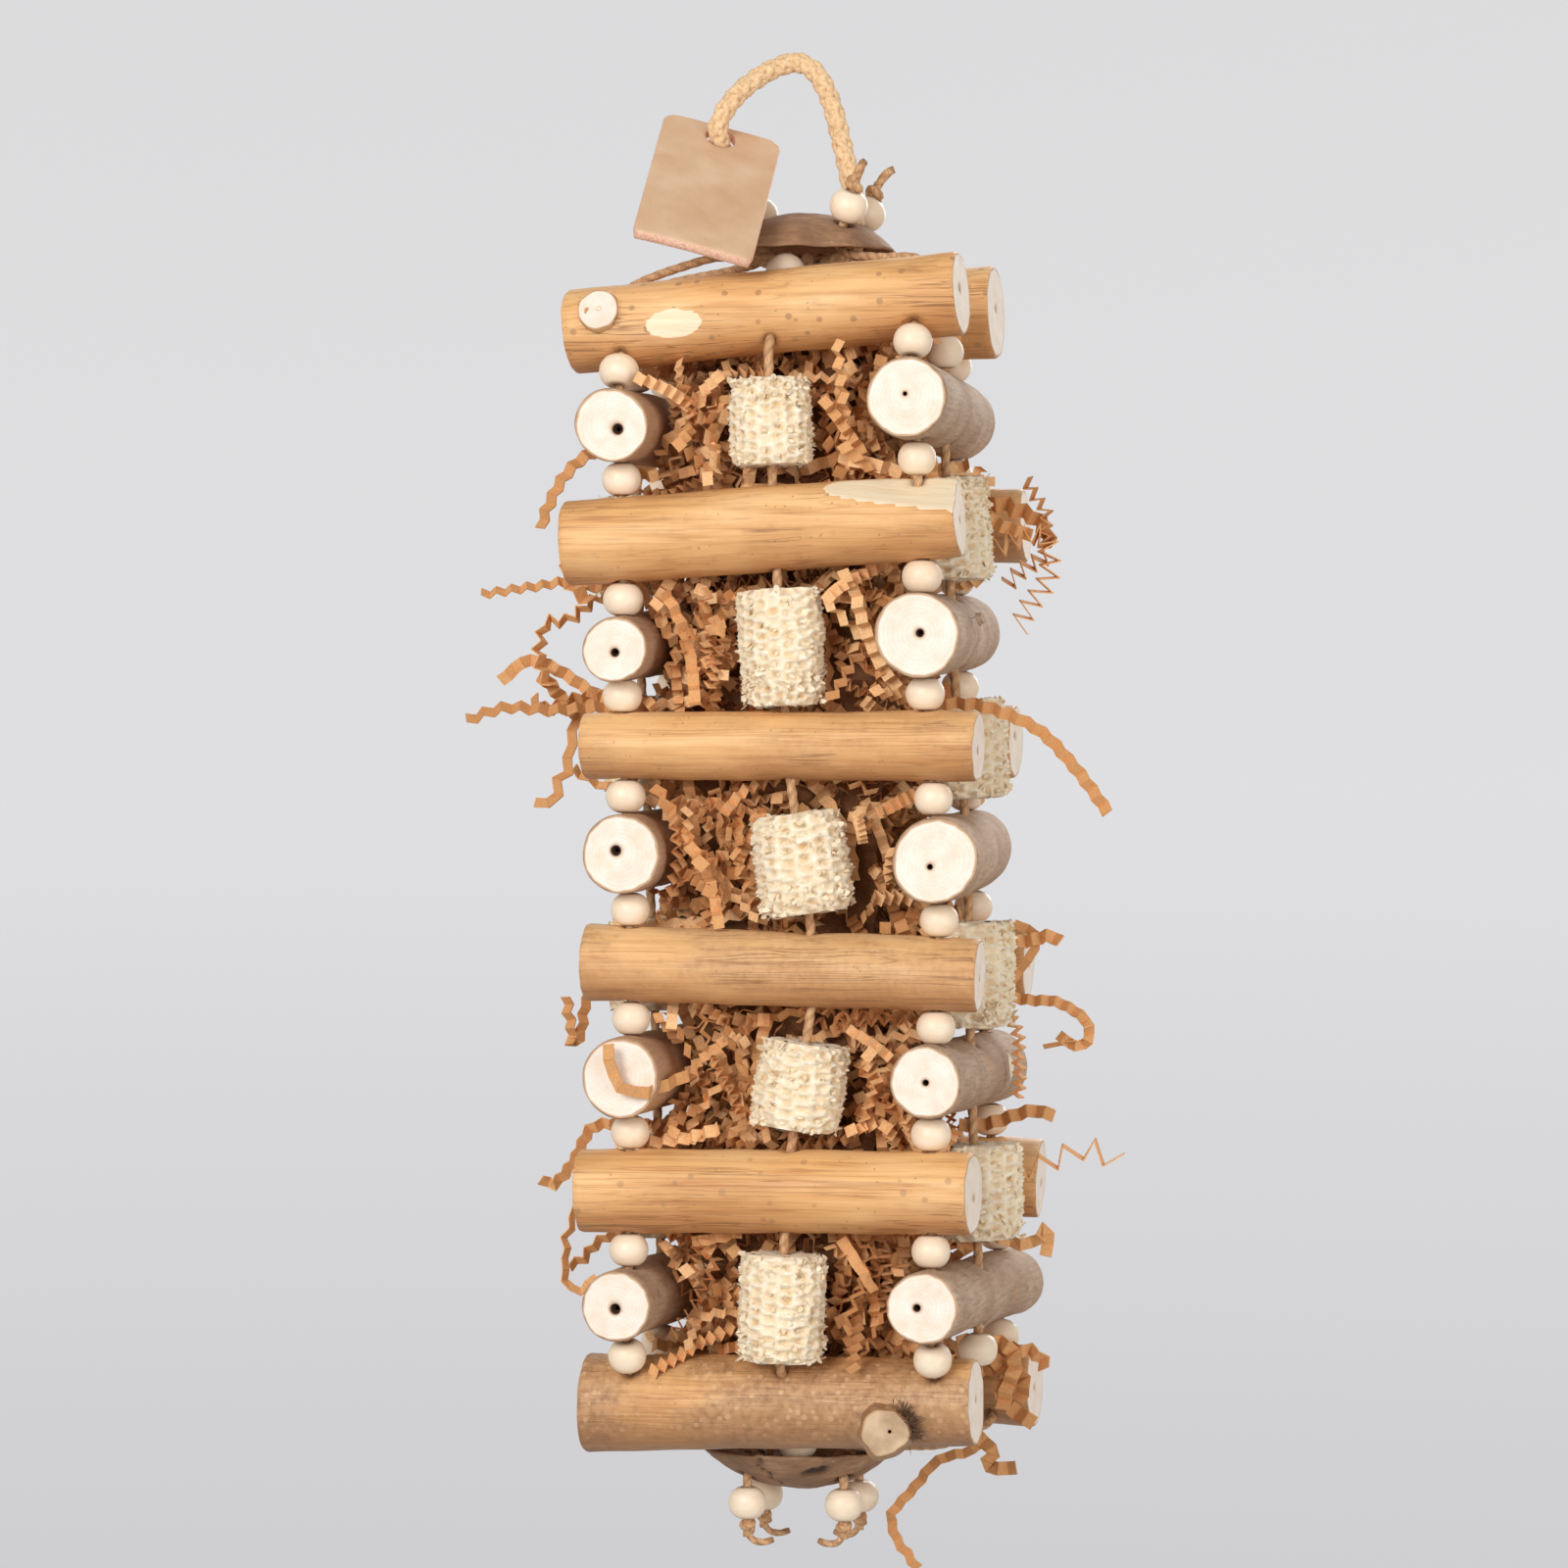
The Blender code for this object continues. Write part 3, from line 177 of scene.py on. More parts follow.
# Stray strips: how each shows, its width, pitch and fold, the depths (Y) of its points, of which the last
# holds on, and its route seen from the front (X, Z)
STRANDS = {
    "right_long": ("ribbon", 3.4, 2.8, 1.7, (-27, -27, -29, -30, -29),
        [(44, -194), (60, -195), (76, -201), (88, -212), (99, -227)]),
    "left_long": ("ribbon", 3.4, 2.8, 1.7, (-27, -28, -33, -35, -36),
        [(-42, -194), (-57, -195), (-71, -196), (-84, -195), (-97, -199)]),
    "on_end": ("ribbon", 3.4, 4.6, 1.0, (-46, -56, -64, -65.5, -66),
        [(-26, -306), (-32, -309), (-37, -310.5), (-43.6, -307), (-46, -296)]),
    "left_top": ("ribbon", 3.4, 2.6, 1.5, (-30, -36, -40, -42),
        [(-46, -116), (-58, -118), (-66, -126), (-71, -136), (-72, -141)]),
    "left_flat": ("ribbon", 2.8, 2.4, 1.5, (-20, -22, -23, -25, -26, -27),
        [(-44, -157), (-64.6, -158.5), (-70.1, -156.7), (-78.1, -157.9), (-86.9, -159.4),
         (-94.9, -160.1)]),
    "left_bent": ("ribbon", 3.4, 2.8, 1.6, (-21, -22, -23, -25, -26, -27, -28),
        [(-46, -194), (-59, -191.5), (-69.5, -185), (-75.7, -181.6), (-81.5, -180.8), (-85.2, -184),
         (-88.5, -187)]),
    "left_spring": ("spring", 2.8, 2.5, 2.8, (-20, -22, -23, -25, -26, -27, -28, -29, -30),
        [(-44, -158), (-54.6, -160), (-61.9, -163), (-68.1, -168.6), (-74.5, -169.2), (-76.1, -173.4),
         (-77, -178.1), (-75.3, -183.5), (-72.3, -188.8)]),
    "left_low": ("ribbon", 3.0, 4.6, 1.0, (-20, -22, -23, -25, -26, -27, -28, -29, -30),
        [(-46, -193.5), (-61.6, -193.3), (-66.8, -200.6), (-66.9, -205.7), (-68.2, -211.9), (-67.9, -216),
         (-71, -217.5), (-70.4, -222), (-73.5, -224.6), (-77.4, -223.7)]),
    "left_hook": ("ribbon", 2.6, 3.0, 1.0, (-20, -22, -23, -25, -26),
        [(-44, -220), (-57.6, -219), (-61.9, -216.6), (-64.5, -215.4), (-66.3, -213.4)]),
    "left_bunch": ("ribbon", 3.6, 2.4, 2.2, (-21, -22, -23, -25, -26, -27),
        [(-45, -193), (-57.5, -191.5), (-65, -192.3), (-70.5, -194.1), (-75.7, -195.3), (-79.1, -192.3)]),
    "left_bunch_back": ("ribbon", 3.6, 2.2, 2.4, (-20, -22, -23, -25, -26, -27),
        [(-45, -201), (-59.7, -199.7), (-66.5, -196.7), (-71.1, -191.1), (-74.5, -187), (-76.7, -185.8)]),
    "left_cover": ("ribbon", 4.4, 3.0, 2.2, (-20, -22, -23, -25, -26, -27),
        [(-44, -147), (-61.2, -148), (-68, -151.3), (-68.1, -155.5), (-65.4, -159.7), (-60.3, -163.3)]),
    "left_drop": ("ribbon", 3.0, 2.4, 1.7, (-19, -19, -19, -19.5, -20, -20.5, -21),
        [(-44, -279), (-59.3, -280.4), (-63.6, -284.5), (-64.9, -289.8), (-65.6, -295.2), (-68.4, -298.7),
         (-68.1, -293.3), (-69, -288.6), (-69.3, -283.5)]),
    "left_lower": ("ribbon", 3.2, 2.2, 2.0, (-14, -15, -16, -17, -18, -19),
        [(-44, -323), (-56.3, -322.3), (-62.8, -323.8), (-65.5, -328.2), (-68.9, -335), (-74.1, -341.2),
         (-77.8, -339.4)]),
    "left_curl": ("spring", 2.8, 3.4, 0.9, (-14, -15, -16, -17, -18, -19),
        [(-45, -341), (-61.9, -342.6), (-66.7, -346.5), (-69.2, -349.4), (-68.3, -352.9), (-70.8, -357.9),
         (-69.9, -361.7), (-70.8, -369.2), (-67.5, -373.9), (-63.8, -372.1), (-61.1, -368.9)]),
    "left_tuft": ("ribbon", 3.0, 2.4, 1.8, (-14, -15, -16, -17, -18),
        [(-44, -354), (-55.3, -355.7), (-62.2, -360), (-65.2, -363.7), (-69.5, -365.7)]),
    "right_loop": ("spring", 2.6, 2.3, 5.0, (16, 14),
        [(46, -146.8), (55.2, -145.8), (65.1, -143.4), (71.3, -142.2), (74.4, -145.2), (73.8, -151.9),
         (71.9, -157.9), (69.7, -162.4), (66.7, -166.4), (63.9, -170)]),
    "right_dark": ("spring", 3.0, 1.9, 4.0, (12.5,),
        [(73.4, -147.7), (70.3, -150.1), (67.2, -152.5), (64.1, -154.9), (60.7, -157)]),
    "right_rise": ("spring", 3.2, 2.0, 2.6, (15,),
        [(66.5, -125.2), (68.6, -128.5), (71.1, -131.8), (73, -135.5), (72.4, -139.7), (73.3, -144.6)]),
    "right_ribbon": ("ribbon", 3.6, 2.6, 1.8, (16, 14),
        [(46, -136.5), (52.7, -135.5), (58.3, -138.8), (63.6, -140.7), (68.8, -142.2)]),
    "right_fold": ("ribbon", 4.4, 3.0, 3.0, (18, 16),
        [(46, -133.4), (58.6, -132.4), (62.9, -134.2), (67.2, -135.4), (70.6, -137.6), (72.8, -141.5),
         (72.8, -146)]),
    "right_tuft": ("ribbon", 3.6, 2.4, 2.2, (16, 14),
        [(46, -268.4), (57.4, -267.4), (63.9, -266.8), (68.8, -266.2), (74.1, -265), (77.5, -266.8)]),
    "right_wisp": ("ribbon", 2.6, 4.0, 0.9, (17, 16),
        [(46, -280), (58, -280.5), (62, -279), (64.1, -276.2), (66.9, -272.3), (69.7, -268.1),
         (69.4, -264.1), (62.9, -261.4)]),
    "right_hook": ("ribbon", 3.0, 2.2, 2.0, (16, 14),
        [(46, -284.4), (58.3, -283.4), (65.1, -284.3), (70.4, -284.9), (75.3, -284.9), (80.6, -287.1),
         (85.2, -290.7), (86.5, -295.2), (84.6, -298.3), (81.2, -298.3), (76.9, -295.2)]),
    "right_hook_wisp": ("spring", 2.2, 4.6, 0.7, (14,),
        [(82.7, -297), (77.5, -298.3), (72.2, -298.6)]),
    "right_down": ("spring", 2.8, 1.5, 2.6, (15, 14),
        [(46, -286), (59.8, -287.5), (63.3, -291.9), (64.2, -297), (64.8, -303.4), (64.5, -309.8),
         (64.2, -314.6)]),
    "right_flag": ("ribbon", 3.6, 2.8, 2.2, (16, 14),
        [(46, -323.5), (55.3, -322.7), (63.6, -319.9), (69.1, -318.5), (75.3, -320)]),
    "right_spring": ("spring", 2.2, 4.2, 5.2, (16, 14),
        [(46, -336.8), (55.2, -335.8), (63.9, -335.8), (69.1, -335.8), (74.1, -334.6), (79.3, -332.7),
         (85.8, -330.3), (90.5, -330.9), (96, -333.6)]),
    "right_end": ("ribbon", 3.4, 3.4, 1.3, (16, 14),
        [(46, -355.5), (54.3, -356), (60.5, -358.3), (65.1, -359.7), (71, -357.8), (72.8, -353.9),
         (73.8, -357.5), (72.8, -363)]),
    "right_wad": ("ribbon", 4.0, 2.6, 2.2, (16, 14),
        [(46, -392.1), (53.7, -391.1), (59.5, -392.3), (65.7, -391.7), (70.4, -393.2), (72.8, -397.5)]),
    "right_wad_long": ("ribbon", 4.2, 3.0, 2.4, (15, 13),
        [(46, -395.4), (55.4, -394.4), (61, -399.8), (59.1, -406.4), (63.4, -410.7), (69.3, -414.3)]),
    "right_wad_drop": ("ribbon", 4.0, 2.6, 2.4, (12, 11),
        [(46, -389.5), (58.5, -389.7), (63.2, -392.4), (63.8, -397.8), (61.3, -403.5), (60.1, -409.9)]),
    "right_wad_fold": ("ribbon", 3.8, 2.4, 2.0, (17, 15),
        [(46, -399.8), (53.8, -398.8), (58.7, -397), (63.7, -397.6), (66.2, -402.4), (64.3, -407.9)]),
    "bottom": ("ribbon", 2.8, 2.8, 1.7, (12, 12, 10, 7, 5),
        [(44, -412), (52.3, -417.2), (51, -422.5), (43.2, -424.6), (38.7, -427.3), (35.3, -431.9),
         (30.4, -437.6), (26.4, -442.4), (27, -446.9), (28.2, -450.5), (31, -453.8), (34.7, -458.7)]),
    "bottom_side": ("ribbon", 3.8, 3.0, 1.5, (11,),
        [(42, -412), (51.4, -417.7), (55.1, -421.1), (57.6, -424.1), (54.2, -426.5), (58.8, -428.3),
         (64.4, -427.7)]),
}
STRAND_NODES = {"right_long": "paper_strand_right", "left_long": "paper_strand_left"}
FACING = np.array((0.21, -0.98, 0.0))    # towards the camera


class Surface:
    """Builds one node material; a socket given as a value is set on the node itself."""

    def __init__(self, name, roughness=0.6, **shader_values):
        self.material = bpy.data.materials.new(name)
        self.material.use_nodes = True
        self.tree = self.material.node_tree
        self.shader = self.tree.nodes["Principled BSDF"]
        self.shader.inputs["Roughness"].default_value = roughness
        for key, value in shader_values.items():
            self.shader.inputs[key.replace("_", " ")].default_value = value

    def add(self, kind, settings=None, **inputs):
        node = self.tree.nodes.new("ShaderNode" + kind)
        for key, value in (settings or {}).items():
            setattr(node, key, value)
        for key, value in inputs.items():
            self.feed(node.inputs[key.replace("_", " ")], value)
        return node

    def feed(self, socket, value):
        if isinstance(value, bpy.types.NodeSocket):
            self.tree.links.new(value, socket)
        else:
            socket.default_value = value

    def coords(self, stretch=(1, 1, 1)):
        """Object coordinates in metres, squeezed along the grain."""
        place = self.add("TexCoord").outputs["Object"]
        return self.add("Mapping", Vector=place, Scale=stretch).outputs["Vector"]

    def noise(self, scale, detail=4, roughness=0.55, distortion=0.0, stretch=(1, 1, 1)):
        node = self.add("TexNoise", Vector=self.coords(stretch), Scale=scale, Detail=detail,
                        Roughness=roughness, Distortion=distortion)
        return node.outputs["Fac"]

    def ramp(self, factor, *stops):
        """Colours, or grey levels, along a factor: (place, value) pairs."""
        node = self.add("ValToRGB", Fac=factor)
        points = node.color_ramp.elements
        while len(points) < len(stops):
            points.new(0.5)
        for point, (place, value) in zip(points, stops):
            point.position = place
            point.color = (value, value, value, 1) if isinstance(value, (int, float)) else (*value, 1)
        return node.outputs["Color"]

    def attribute(self, name):
        return self.add("Attribute", {"attribute_name": name}).outputs["Fac"]

    def mix(self, factor, first, second, blend="MIX"):
        node = self.add("Mix", {"data_type": "RGBA", "blend_type": blend})
        colour_inputs = [socket for socket in node.inputs if socket.type == "RGBA"]
        self.feed(node.inputs[0], factor)
        for socket, value in zip(colour_inputs, (first, second)):
            self.feed(socket, (*value, 1) if isinstance(value, tuple) else value)
        return next(socket for socket in node.outputs if socket.type == "RGBA")

    def tint(self, colour, tone, share, strength=1):
        """A colour taken towards a tone by a share: a socket, or the name of a point value."""
        share = self.attribute(share) if isinstance(share, str) else share
        return self.mix(share if strength == 1 else self.times(share, strength), colour, tone)

    def plus(self, first, second):
        return self.maths("ADD", first, second)

    def times(self, first, second):
        return self.maths("MULTIPLY", first, second)

    def maths(self, operation, first, second=0.0):
        node = self.add("Math", {"operation": operation})
        self.feed(node.inputs[0], first)
        self.feed(node.inputs[1], second)
        return node.outputs["Value"]

    def finish(self, colour, height=None, bump=0.3, depth=0.3, roughness=None):
        """Colour, bump of a depth in mm, and roughness into the shader."""
        self.feed(self.shader.inputs["Base Color"], colour)
        if height is not None:
            relief = self.add("Bump", Strength=bump, Distance=depth * MM, Height=height)
            self.feed(self.shader.inputs["Normal"], relief.outputs["Normal"])
        if roughness is not None:
            self.feed(self.shader.inputs["Roughness"], roughness)
        return self.material


class Mass:
    """Points, faces and point values of many small forms in mm, gathered into one piece."""

    def __init__(self, **usual):
        self.points = []
        self.faces = []
        self.kinds = []
        self.usual = usual
        self.values = {}
        self.count = 0

    def add(self, points, faces, kind=0, **values):
        points = np.asarray(points, float)
        self.points.append(points)
        self.faces += [tuple(index + self.count for index in face) for face in faces]
        self.kinds += [kind] * len(faces)
        for key, value in {**self.usual, **values}.items():
            filled = np.broadcast_to(np.asarray(value, float), len(points))
            self.values.setdefault(key, []).append(filled)
        self.count += len(points)

    def piece(self, name, materials, body, slot, replaces=(), smooth=True, outwards=True):
        """The mesh in metres. It rides on a body and stands for CAD nodes. The slot is not used."""
        mesh = bpy.data.meshes.new(name)
        mesh.from_pydata((np.concatenate(self.points) * MM).tolist(), [], self.faces)
        if outwards:
            shape = bmesh.new()
            shape.from_mesh(mesh)
            bmesh.ops.recalc_face_normals(shape, faces=shape.faces)
            shape.to_mesh(mesh)
            shape.free()
        if smooth:
            mesh.shade_smooth()
        for material in materials:
            mesh.materials.append(material)
        mesh.polygons.foreach_set("material_index", self.kinds)
        for key, found in self.values.items():
            layer = mesh.attributes.new(key, "FLOAT", "POINT")
            layer.data.foreach_set("value", np.concatenate(found).astype(np.float32))
        mesh.update()
        piece = bpy.data.objects.new(name, mesh)
        bpy.context.scene.collection.objects.link(piece)
        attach(piece, body)
        if replaces:
            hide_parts(*replaces)
        return piece


def grid_faces(rows, columns, closed=True):
    """Quads between successive rings of points, each ring closed on itself or open."""
    span = columns if closed else columns - 1
    faces = []
    for row in range(rows - 1):
        for k in range(span):
            after = (k + 1) % columns
            faces.append((row * columns + k, row * columns + after, (row + 1) * columns + after,
                          (row + 1) * columns + k))
    return faces


def faced_outwards(rings, outward):
    """Quads between rings, turned over where they would face inwards."""
    faces = grid_faces(len(rings), len(rings[0]))
    lean = np.cross(rings[1][0] - rings[0][0], rings[0][1] - rings[0][0]).dot(outward)
    return [face[::-1] for face in faces] if lean > 0 else faces


def unit(vector):
    return np.asarray(vector, float) / np.linalg.norm(vector)


def units(rows):
    return rows / np.linalg.norm(rows, axis=1)[:, None]


def turns_round(count):
    return np.arange(count) * 2 * math.pi / count


def sides_of(axis, hint):
    """Two directions square to an axis and to each other."""
    side = unit(np.cross(axis, hint))
    return side, np.cross(axis, side)


def spokes_at(turns, side, across):
    return np.cos(turns)[:, None] * side + np.sin(turns)[:, None] * across


def lengths_along(line):
    return np.concatenate([[0], np.cumsum(np.linalg.norm(np.diff(line, axis=0), axis=1))])


def smooth_route(route, step):
    """Points about one step apart on a smooth curve through a route's own points."""
    points = [Vector(p) for p in route]
    ends = [2 * points[0] - points[1]] + points + [2 * points[-1] - points[-2]]
    curve = []
    for before, start, end, after in zip(ends, ends[1:], ends[2:], ends[3:]):
        count = max(1, round((end - start).length / step))
        for k in range(count):
            t = k / count
            curve.append(0.5 * (2 * start + (end - before) * t
                                + (2 * before - 5 * start + 4 * end - after) * t * t
                                + (3 * start - before - 3 * end + after) * t ** 3))
    return np.array(curve + [points[-1]])


def spaced(line, step):
    """A polyline again, with its points evenly about one step apart."""
    along = lengths_along(line)
    count = max(2, round(along[-1] / step) + 1)
    places = np.linspace(0, along[-1], count)
    return np.stack([np.interp(places, along, line[:, k]) for k in range(3)], axis=1)


def carried_frames(line):
    """Tangents, and two sides carried along a line without twist."""
    tangents = units(np.gradient(line, axis=0))
    side = np.cross(tangents[0], (0.3, 0.2, 1.0) if abs(tangents[0][2]) < 0.9 else (0, 1, 0))
    sides = []
    for tangent in tangents:
        side = unit(side - tangent * side.dot(tangent))
        sides.append(side)
    sides = np.array(sides)
    return tangents, sides, np.cross(tangents, sides)


def tube(line, radius, sides=8, ridges=0, twist=0.0):
    """Points of a tube along a line. Ridges wind round it once per twist length."""
    radius = np.broadcast_to(radius, len(line))
    side, across = carried_frames(line)[1:]
    turns = turns_round(sides)
    along = lengths_along(line)
    swell = np.ones((len(line), sides))
    if ridges:
        phase = ridges * (turns[None, :] - 2 * math.pi * along[:, None] / twist)
        swell = 1 - 0.16 * (1 - np.abs(np.sin(phase / 2)))
    reach = radius[:, None] * swell
    points = (line[:, None, :] + (reach * np.cos(turns))[:, :, None] * side[:, None, :]
              + (reach * np.sin(turns))[:, :, None] * across[:, None, :])
    return points.reshape(-1, 3)


def closed_tube(line, radius, sides=8, ridges=0, twist=0.0):
    """A tube's points and faces with both ends shut."""
    points = tube(line, radius, sides, ridges, twist)
    faces = grid_faces(len(line), sides)
    faces.append(tuple(reversed(range(sides))))
    faces.append(tuple(range(len(points) - sides, len(points))))
    return points, faces


def build_camera():
    camera = bpy.data.objects.new("camera", bpy.data.cameras.new("camera"))
    bpy.context.scene.collection.objects.link(camera)
    right = Vector((math.cos(CAMERA_AZIMUTH), math.sin(CAMERA_AZIMUTH), 0))
    ahead = Vector((-math.sin(CAMERA_AZIMUTH), math.cos(CAMERA_AZIMUTH), 0))
    place = right * CAMERA_SIDEWAYS - ahead * CAMERA_DISTANCE + UP * CAMERA_HEIGHT
    camera.location = place * MM
    camera.rotation_euler = (math.pi / 2, 0, CAMERA_AZIMUTH)
    camera.data.sensor_width = 36
    camera.data.lens = CAMERA_LENS
    camera.data.clip_end = 50
    bpy.context.scene.camera = camera


def backdrop_material():
    """Pale grey, a little darker low down, that shows the same from any side."""
    surface = Surface("studio_grey", roughness=0.9)
    surface.shader.inputs["Base Color"].default_value = (0.70, 0.70, 0.71, 1)
    place = surface.add("SeparateXYZ", Vector=surface.add("TexCoord").outputs["Object"])
    height = surface.add("MapRange", Value=place.outputs["Z"], From_Min=FLOOR_Z * MM, From_Max=0.9)
    cloud = surface.noise(1.0, detail=1, stretch=(0.25, 0.25, 0.25))
    grey = surface.ramp(height.outputs["Result"], (0.0, (0.58, 0.58, 0.595)), (0.12, (0.625, 0.62, 0.635)),
                        (0.45, (0.745, 0.74, 0.755)), (0.8, (0.715, 0.715, 0.725)))
    tone = surface.mix(0.06, grey, cloud, "OVERLAY")
    glow = surface.add("Emission", Color=tone)
    rays = surface.add("LightPath")
    seen = surface.maths("MAXIMUM", rays.outputs["Is Camera Ray"], rays.outputs["Is Glossy Ray"])
    blend = surface.add("MixShader", Fac=seen)
    surface.feed(blend.inputs[1], surface.shader.outputs["BSDF"])
    surface.feed(blend.inputs[2], glow.outputs["Emission"])
    surface.feed(surface.tree.nodes["Material Output"].inputs["Surface"], blend.outputs["Shader"])
    return surface.material


def build_backdrop():
    """One round bowl: a flat floor that turns up into a wall on every side."""
    profile = [(1, FLOOR_Z), (FLOOR_RADIUS - BOWL_FILLET, FLOOR_Z)]
    for k in range(1, 9):
        turn = math.pi / 2 * k / 8
        profile.append((FLOOR_RADIUS - BOWL_FILLET + BOWL_FILLET * math.sin(turn),
                        FLOOR_Z + BOWL_FILLET * (1 - math.cos(turn))))
    profile.append((FLOOR_RADIUS, BOWL_HEIGHT))
    sides = 96
    points = [(reach * math.cos(2 * math.pi * k / sides), reach * math.sin(2 * math.pi * k / sides), z)
              for reach, z in profile for k in range(sides)]
    mesh = bpy.data.meshes.new("backdrop")
    mesh.from_pydata((np.array(points) * MM).tolist(), [], grid_faces(len(profile), sides))
    mesh.shade_smooth()
    mesh.materials.append(backdrop_material())
    bowl = bpy.data.objects.new("backdrop", mesh)
    bpy.context.scene.collection.objects.link(bowl)
    bowl.visible_shadow = False
    bowl.visible_diffuse = False


def build_lights():
    for name, (place, width, power) in LAMPS.items():
        lamp = bpy.data.lights.new(name, "AREA")
        lamp.shape = "DISK"
        lamp.size = width * MM
        lamp.energy = power
        holder = bpy.data.objects.new(name, lamp)
        holder.location = Vector(place) * MM
        holder.rotation_euler = (Vector(LAMP_TARGET) - Vector(place)).to_track_quat("-Z", "Y").to_euler()
        bpy.context.scene.collection.objects.link(holder)
    world = bpy.data.worlds.new("studio")
    world.use_nodes = True
    world.node_tree.nodes["Background"].inputs["Color"].default_value = (1, 0.99, 0.975, 1)
    world.node_tree.nodes["Background"].inputs["Strength"].default_value = 0.44
    bpy.context.scene.world = world
    bpy.context.scene.view_settings.view_transform = "Standard"


def jute_material():
    surface = Surface("jute", roughness=0.85, Sheen_Weight=0.25)
    fibre = surface.noise(900, detail=3)
    broad = surface.noise(90, detail=2)
    colour = surface.ramp(fibre, (0.25, (0.56, 0.325, 0.145)), (0.5, (0.80, 0.525, 0.28)),
                          (0.75, (0.91, 0.67, 0.40)))
    colour = surface.tint(colour, (0.83, 0.60, 0.36), surface.ramp(broad, (0.35, 0.0), (0.75, 0.45)))
    # Painted shade in the crevices between the braid's strands.
    groove = surface.attribute("groove")
    colour = surface.tint(colour, (0.40, 0.24, 0.11), groove, 0.7)
    return surface.finish(colour, fibre, bump=0.5, depth=0.4)


def braid(line, diameter):
    """Strands that wind both ways round a line and pass over and under each other."""
    side, across = carried_frames(line)[1:]
    along = lengths_along(line)
    strand = diameter * 0.25
    middle = diameter / 2 - strand * 0.8
    found = []
    for way in (1, -1):
        for k in range(ROPE_STRANDS):
            turn = way * 2 * math.pi * (along / ROPE_LAY) + 2 * math.pi * k / ROPE_STRANDS
            weave = np.cos(ROPE_STRANDS * (2 * math.pi * along / ROPE_LAY) + math.pi * k) * way
            reach = middle + 0.16 * strand * weave
            path = line + (reach * np.cos(turn))[:, None] * side + (reach * np.sin(turn))[:, None] * across
            found.append((path, strand))
    return found


def build_rope(material):
    line = spaced(smooth_route(ROPE_ROUTE, 0.8), ROPE_STEP)
    mass = Mass()
    for path, strand in braid(line, ROPE_DIAMETER):
        points, faces = closed_tube(path, strand, 8, ridges=3, twist=STRAND_TWIST)
        depth = np.linalg.norm(points - np.repeat(line, 8, axis=0), axis=1)
        # Painted shade, deepest on the parts of each strand that lie nearest the rope's middle.
        groove = np.clip(1 - (depth / (ROPE_DIAMETER / 2) - 0.55) / 0.3, 0, 1)
        mass.add(points, faces, groove=groove * 0.85)
    # A thin core between the strands, painted wholly dark as the shade deep in the braid.
    core, faces = closed_tube(line, ROPE_DIAMETER * 0.3, 8)
    mass.add(core, faces, groove=1.0)
    rope = mass.piece("hanging_rope_braid", [material], "hanging_loop", "jute_rope", ["hanging_rope"])


def node_mesh(name):
    """A CAD node's corners in mm, merged where they meet, and its triangles."""
    mesh = frame["nodes"][name].data
    points = np.array([vertex.co for vertex in mesh.vertices]) / MM
    merged, index = np.unique(np.round(points, 2), axis=0, return_inverse=True)
    index = index.reshape(-1)
    mesh.calc_loop_triangles()
    return merged, [tuple(int(index[i]) for i in triangle.vertices) for triangle in mesh.loop_triangles]


def joint_of(name):
    """The joint that carries a node, with its place in mm and its axis."""
    joint = next(joint for joint in frame["joints"] if joint["child"] == name)
    return np.array(joint["pos_m"]) / MM, np.array(joint["axis"], float)


def blurred(grid, passes):
    """A grid of rows along a stick and columns round it, smoothed both ways."""
    for step in range(passes):
        grid = (np.roll(grid, 1, axis=1) + 2 * grid + np.roll(grid, -1, axis=1)) / 4
        if step % 2 == 0:
            grid[1:-1] = (grid[:-2] + 2 * grid[1:-1] + grid[2:]) / 4
    return grid


